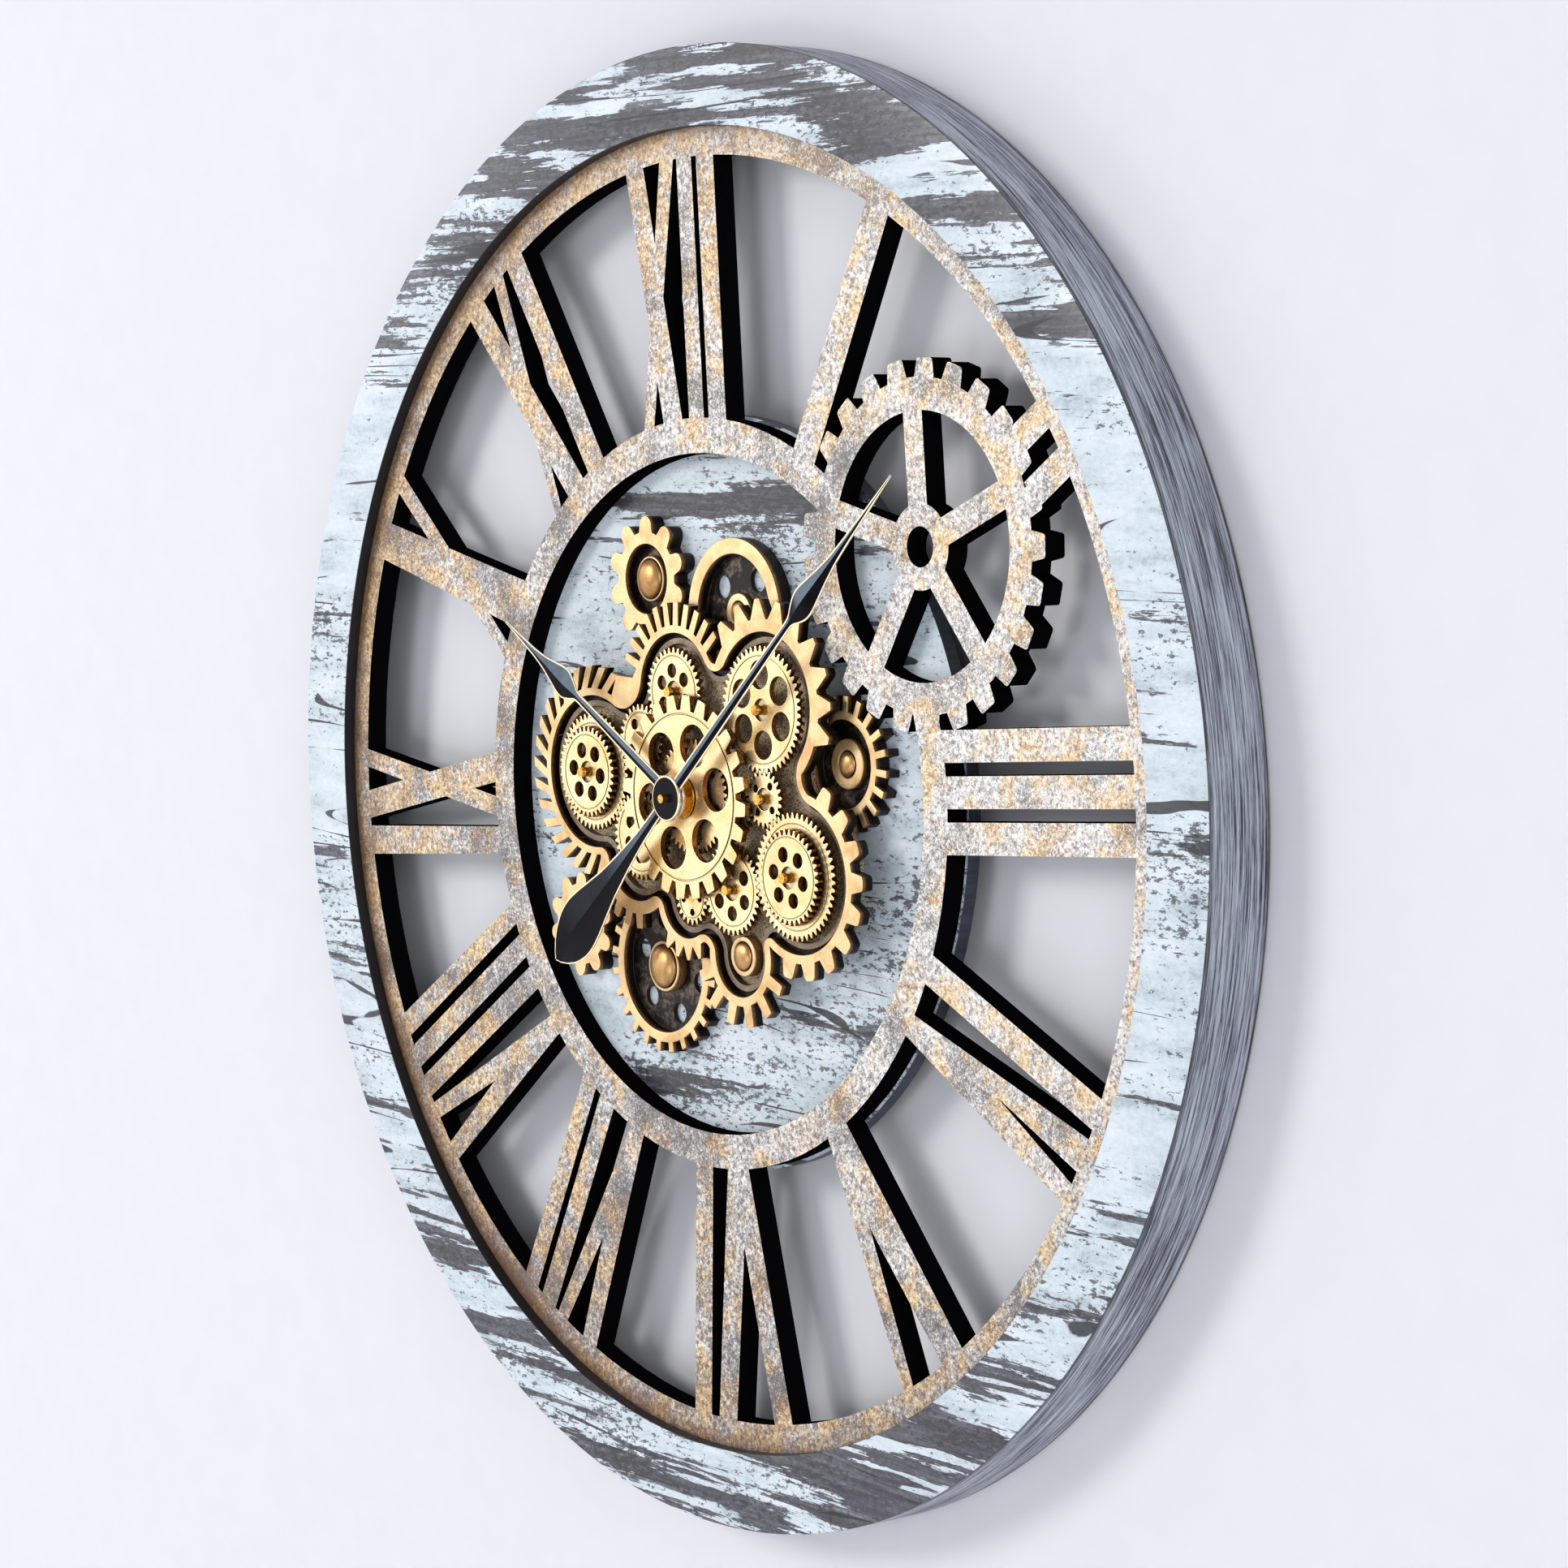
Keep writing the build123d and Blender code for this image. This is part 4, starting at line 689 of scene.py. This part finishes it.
def build_case():
    """Face ring and hoop as smooth turned pieces."""
    back = span("face_ring", 1)[1]
    corners = [(FACE_IN_R, CASE_FRONT), (CASE_R, CASE_FRONT), (CASE_R, back), (FACE_IN_R, back)]
    ring = rounded(corners, EDGE_ROUND)
    verts, faces = lathe(ring, segments=CASE_SEGMENTS)
    n = len(ring)
    # front of the ring carries the print, its inside edge is black, its outside edge matches the hoop
    picks = []
    for k in range(len(faces)):
        p, q = ring[k % n], ring[(k + 1) % n]
        r_mid = (p[0] + q[0]) / 2
        y_mid = (p[1] + q[1]) / 2
        if y_mid < CASE_FRONT + 0.0003:
            picks.append(0)
        elif r_mid > CASE_R - 0.001:
            picks.append(1)
        else:
            picks.append(2)
    add_mesh("face_ring_smooth", verts, faces, [WOOD, HOOP, BLACK], "case", ("face_ring",),
             picks)
    inner = CASE_R - HOOP_WALL
    corners = [(inner, back), (CASE_R, back), (CASE_R, CASE_BACK), (inner, CASE_BACK)]
    hoop = rounded(corners, EDGE_ROUND)
    verts, faces = lathe(hoop, segments=CASE_SEGMENTS)
    picks = []
    for k in range(len(faces)):
        p, q = hoop[k % len(hoop)], hoop[(k + 1) % len(hoop)]
        picks.append(0 if (p[0] + q[0]) / 2 > CASE_R - 0.001 else 1)
    add_mesh("side_hoop_smooth", verts, faces, [HOOP, BLACK], "case", ("side_hoop",),
             picks)


DOME_RISE = 0.42       # height of a dome per unit of its radius
# radius of each dome, left to right
CAP_DOMES = {"large_caps": (0.0088, 0.0080), "small_caps": (0.0050, 0.0044, 0.0056, 0.0050)}


def dome_cap(name, x, z, y_seat, r_collar, r_dome, height):
    """Gold collar with a rounded lip and a groove, and a domed copper cap standing in it."""
    lip = 0.0006
    prof = [(0.0, y_seat), (r_collar, y_seat), (r_collar, y_seat - height + lip)]
    prof += [(r_collar - lip * (1 - math.cos(a)), y_seat - height + lip - lip * math.sin(a))
             for a in (math.pi / 6, math.pi / 3, math.pi / 2)]
    prof += [(r_dome + 0.0009, y_seat - height), (r_dome + 0.0005, y_seat - height + 0.0003),
             (r_dome + 0.0003, y_seat - height + 0.0011), (r_dome, y_seat - height + 0.0011)]
    steps = 14
    for i in range(steps + 1):
        a = math.pi / 2 * i / steps
        prof.append((r_dome * math.cos(a), y_seat - height + 0.0004 - r_dome * DOME_RISE * math.sin(a)))
    verts, faces = lathe(prof, x, z, 96)
    picks = []
    for face in faces:
        corners = [verts[i] for i in face]
        near = all(math.hypot(c[0] - x, c[2] - z) < r_dome + 0.0004 for c in corners)
        picks.append(int(near and min(c[1] for c in corners) < y_seat - height + 0.0012))
    return add_mesh(name, verts, faces, [COLLAR, COPPER], "case", (), picks)


def island_boxes(node):
    """Boxes of the separate solids in one CAD node."""
    bm = bmesh.new()
    bm.from_mesh(NODES[node].data)
    bmesh.ops.remove_doubles(bm, verts=bm.verts, dist=1e-6)
    left = set(bm.verts)
    boxes = []
    while left:
        stack = [left.pop()]
        group = []
        while stack:
            v = stack.pop()
            group.append(v.co.copy())
            for e in v.link_edges:
                w = e.other_vert(v)
                if w in left:
                    left.remove(w)
                    stack.append(w)
        low = Vector(min(c[i] for c in group) for i in range(3))
        high = Vector(max(c[i] for c in group) for i in range(3))
        boxes.append((low, high))
    bm.free()
    return sorted(boxes, key=lambda b: (round(b[0].x, 4), round(b[0].z, 4)))


def build_caps():
    """A smooth cap in the place of each solid; the first of a node's caps stands for the node."""
    for node, domes in CAP_DOMES.items():
        for k, (dome, (low, high)) in enumerate(zip(domes, island_boxes(node))):
            r = (high.x - low.x) / 2
            height = (high.y - low.y) - dome * DOME_RISE + 0.0004
            x, z = (low.x + high.x) / 2, (low.z + high.z) / 2
            piece = dome_cap(f"{node}_{k}", x, z, high.y, r, dome, height)
            if k == 0:
                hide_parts(node)


build_case()
build_caps()


# ---------------------------------------------------------------- hands

def blade(stations, y_back, edge, slope):
    """Ridge-backed blade along +X: vertices, faces, and 1 for each pale edge face."""
    verts, faces, picks = [], [], []
    for s, w in stations:
        top = max(w - 0.00065, w * 0.35)
        h = slope * top + 0.00015
        y_edge = y_back - edge
        verts += [(s, y_back, -w), (s, y_edge, -w), (s, y_edge, -top), (s, y_edge - h, 0.0),
                  (s, y_edge, top), (s, y_edge, w), (s, y_back, w)]
    sides = 7
    for i in range(len(stations) - 1):
        near, far = i * sides, (i + 1) * sides
        for k in range(sides):
            m = (k + 1) % sides
            faces.append((near + k, near + m, far + m, far + k))
            picks.append(0 if k in (2, 3) else 1)
    last = sides * (len(stations) - 1)
    faces += [tuple(range(sides)), tuple(last + k for k in range(sides))]
    picks += [1, 1]
    return verts, faces, picks


def smooth_stations(points, n=6):
    """Catmull-Rom curve through the stations, in millimetres, given in metres."""
    out = []
    for i in range(len(points) - 1):
        p0 = points[max(i - 1, 0)]
        p1, p2 = points[i], points[i + 1]
        p3 = points[min(i + 2, len(points) - 1)]
        for k in range(n):
            t = k / n
            w = 0.5 * (2 * p1[1] + (p2[1] - p0[1]) * t
                       + (2 * p0[1] - 5 * p1[1] + 4 * p2[1] - p3[1]) * t * t
                       + (3 * p1[1] - p0[1] - 3 * p2[1] + p3[1]) * t ** 3)
            out.append(((p1[0] + (p2[0] - p1[0]) * t) * MM, max(w, 0.3) * MM))
    out.append((points[-1][0] * MM, points[-1][1] * MM))
    return out


# stations along each blade in millimetres: distance from the hub, half width
MINUTE_BLADE = [(7, 2.9), (40, 2.7), (85, 2.2), (108, 1.9), (112, 2.4), (116, 4.6), (120, 6.3), (124, 6.6),
                (130, 5.6), (138, 4.0), (148, 2.5), (160, 1.7), (178, 1.0), (196.5, 0.45)]
MINUTE_TAIL = [(7, 2.6), (25, 3.1), (42, 4.8), (58, 7.2), (70, 10.0), (80, 12.3), (87, 13.2), (93, 12.6),
               (99.5, 10.4), (105, 6.9), (108.8, 3.4), (111, 0.6)]
HOUR_BLADE = [(6, 2.8), (40, 2.5), (72, 2.0), (79, 2.2), (83, 4.4), (87, 6.3), (91, 6.5), (97, 5.1), (105, 3.1),
              (114, 1.8), (126, 1.1), (139, 0.45)]
HAND_CREASE = 12       # degrees; keeps the ridges crisp
HAND_EDGE = 0.00045    # depth of the pale side edge
BLADE_SLOPE = 0.2      # rise of the ridge per half width
TAIL_SLOPE = 0.13
# hub bosses: radius, bore and depth
HOUR_BOSS = (0.0082, 0.00275, 0.0013)
MINUTE_BOSS = (0.0096, 0.00175, 0.0014)
# the hands stand at 10:08:45
MINUTES = 8.75
MINUTE_DEG = 90 - 6 * MINUTES
HOUR_DEG = 90 - (300 + MINUTES / 2)


def turned(verts, deg):
    """Points turned about the hub, anticlockwise seen from the front."""
    c, s = math.cos(math.radians(deg)), math.sin(math.radians(deg))
    return [(x * c - z * s, y, x * s + z * c) for x, y, z in verts]


def merge(sets):
    """One list of vertices, faces and material picks from several."""
    verts, faces, picks = [], [], []
    for v, f, p in sets:
        base = len(verts)
        verts += v
        faces += [tuple(i + base for i in face) for face in f]
        picks += p
    return verts, faces, picks


def hub_disc(r, bore, depth, y_back):
    """Round boss of a hand: black face with a pale rounded rim."""
    front = y_back - depth
    rim = 0.0006
    prof = [(bore, y_back), (r, y_back), (r, front + rim), (r - rim * 0.3, front + rim * 0.3),
            (r - rim, front), (r - rim * 1.5, front), (bore, front)]
    verts, faces = lathe(prof, segments=128)
    picks = []
    for k in range(len(faces)):
        picks.append(0 if k % len(prof) == 5 else 1)
    return verts, faces, picks


def build_hands():
    hour_back = span("hour_hand", 1)[1]
    minute_back = span("minute_hand", 1)[1]
    v, f, p = blade(smooth_stations(HOUR_BLADE), hour_back, HAND_EDGE, BLADE_SLOPE)
    hour = merge([(turned(v, HOUR_DEG), f, p), hub_disc(*HOUR_BOSS, hour_back)])
    add_mesh("hour_hand_ridged", hour[0], hour[1], [GUN, EDGE], "hour_hand_set", ("hour_hand",),
             hour[2], HAND_CREASE)
    v, f, p = blade(smooth_stations(MINUTE_BLADE), minute_back, HAND_EDGE, BLADE_SLOPE)
    tv, tf, tp = blade(smooth_stations(MINUTE_TAIL), minute_back, HAND_EDGE, TAIL_SLOPE)
    tail = turned(tv, MINUTE_DEG + 180), tf, [pick or 2 for pick in tp]
    minute = merge([(turned(v, MINUTE_DEG), f, p), tail, hub_disc(*MINUTE_BOSS, minute_back)])
    add_mesh("minute_hand_ridged", minute[0], minute[1], [GUN, EDGE, GUN_TAIL], "minute_hand_set",
             ("minute_hand",), minute[2], HAND_CREASE)


build_hands()


# ---------------------------------------------------------------- wall, floor, light, camera

def plane(name, corners, material):
    mesh = bpy.data.meshes.new(name)
    mesh.from_pydata(corners, [], [(0, 1, 2, 3)])
    mesh.materials.append(material)
    obj = bpy.data.objects.new(name, mesh)
    bpy.context.scene.collection.objects.link(obj)
    return obj


WALL_Y = CASE_BACK + 0.0005
WALL_TOP = 3.0
FLOOR_Z = -1.15
REACH = 6.0
wall_paint = studio_surface("wall_paint", srgb(226, 226, 230), WALL_Y)
plane("wall", [(-REACH, WALL_Y, FLOOR_Z), (REACH, WALL_Y, FLOOR_Z), (REACH, WALL_Y, WALL_TOP),
               (-REACH, WALL_Y, WALL_TOP)], wall_paint)
plane("floor", [(-REACH, -REACH, FLOOR_Z), (REACH, -REACH, FLOOR_Z), (REACH, REACH, FLOOR_Z),
                (-REACH, REACH, FLOOR_Z)], studio_surface("floor_paint", srgb(236, 236, 238)))


def area_light(name, place, target, width, height, power, colour):
    data = bpy.data.lights.new(name, "AREA")
    data.shape = "RECTANGLE"
    data.size = width
    data.size_y = height
    data.energy = power
    data.color = colour
    obj = bpy.data.objects.new(name, data)
    obj.location = place
    obj.rotation_euler = (Vector(target) - Vector(place)).to_track_quat("-Z", "Y").to_euler()
    bpy.context.scene.collection.objects.link(obj)
    return obj


# each light: name, place, what it points at, width, height, watts, colour
LIGHTS = [
    ("key_left", (-2.4, -3.7, 1.6), (0, 0, 0), 1.5, 1.5, 86, (1.0, 0.985, 0.96)),
    ("sheen_left", (-2.75, -2.17, -0.10), (0, 0, 0), 1.6, 1.6, 10, (1.0, 0.99, 0.97)),
    ("sheen_high", (-3.0, -1.25, 0.95), (0, 0, 0), 0.9, 0.9, 8, (0.93, 0.96, 1.0)),
    ("fill_low", (0.2, -3.2, -0.9), (0, 0, 0), 1.8, 1.0, 16, (0.94, 0.96, 1.0)),
    ("side_right", (2.6, -1.2, 0.3), (0.2, 0, 0), 1.2, 1.8, 23, (0.96, 0.98, 1.0)),
    ("rear", (-1.6, 3.2, 1.4), (0, 0, 0), 1.8, 1.8, 80, (1.0, 1.0, 1.0)),
]
SKY = (0.90, 0.93, 1.0, 1.0)
SKY_STRENGTH = 0.46


def light_scene():
    for light in LIGHTS:
        area_light(*light)
    world = bpy.data.worlds.new("studio")
    world.use_nodes = True
    bg = world.node_tree.nodes["Background"]
    bg.inputs["Color"].default_value = SKY
    bg.inputs["Strength"].default_value = SKY_STRENGTH
    bpy.context.scene.world = world


CAMERA_AZIMUTH = 51.684     # degrees to the right of straight on
CAMERA_RISE = 2.447         # degrees above level
CAMERA_ROLL = -3.368
CAMERA_DISTANCE = 1.5675
CAMERA_AIM = Vector((0.0888, CASE_FRONT, -0.0313))
CAMERA_LENS = 91.07
CAMERA_SHIFT = (-0.0304, 0.0558)


def add_camera():
    """Camera nearly level with the clock, to its right, rolled a little."""
    az, el, roll = (math.radians(a) for a in (CAMERA_AZIMUTH, CAMERA_RISE, CAMERA_ROLL))
    back = Vector((math.sin(az) * math.cos(el), -math.cos(az) * math.cos(el), math.sin(el)))
    right = (-back).cross(Vector((0, 0, 1))).normalized()
    up = right.cross(-back)
    x_axis = right * math.cos(roll) + up * math.sin(roll)
    y_axis = up * math.cos(roll) - right * math.sin(roll)
    data = bpy.data.cameras.new("camera")
    data.sensor_width = 36.0
    data.lens = CAMERA_LENS
    data.shift_x, data.shift_y = CAMERA_SHIFT
    obj = bpy.data.objects.new("camera", data)
    turn = Matrix((x_axis, y_axis, back)).transposed().to_4x4()
    obj.matrix_world = Matrix.Translation(CAMERA_AIM + back * CAMERA_DISTANCE) @ turn
    bpy.context.scene.collection.objects.link(obj)
    bpy.context.scene.camera = obj


light_scene()
add_camera()
bpy.context.scene.view_settings.view_transform = "Standard"
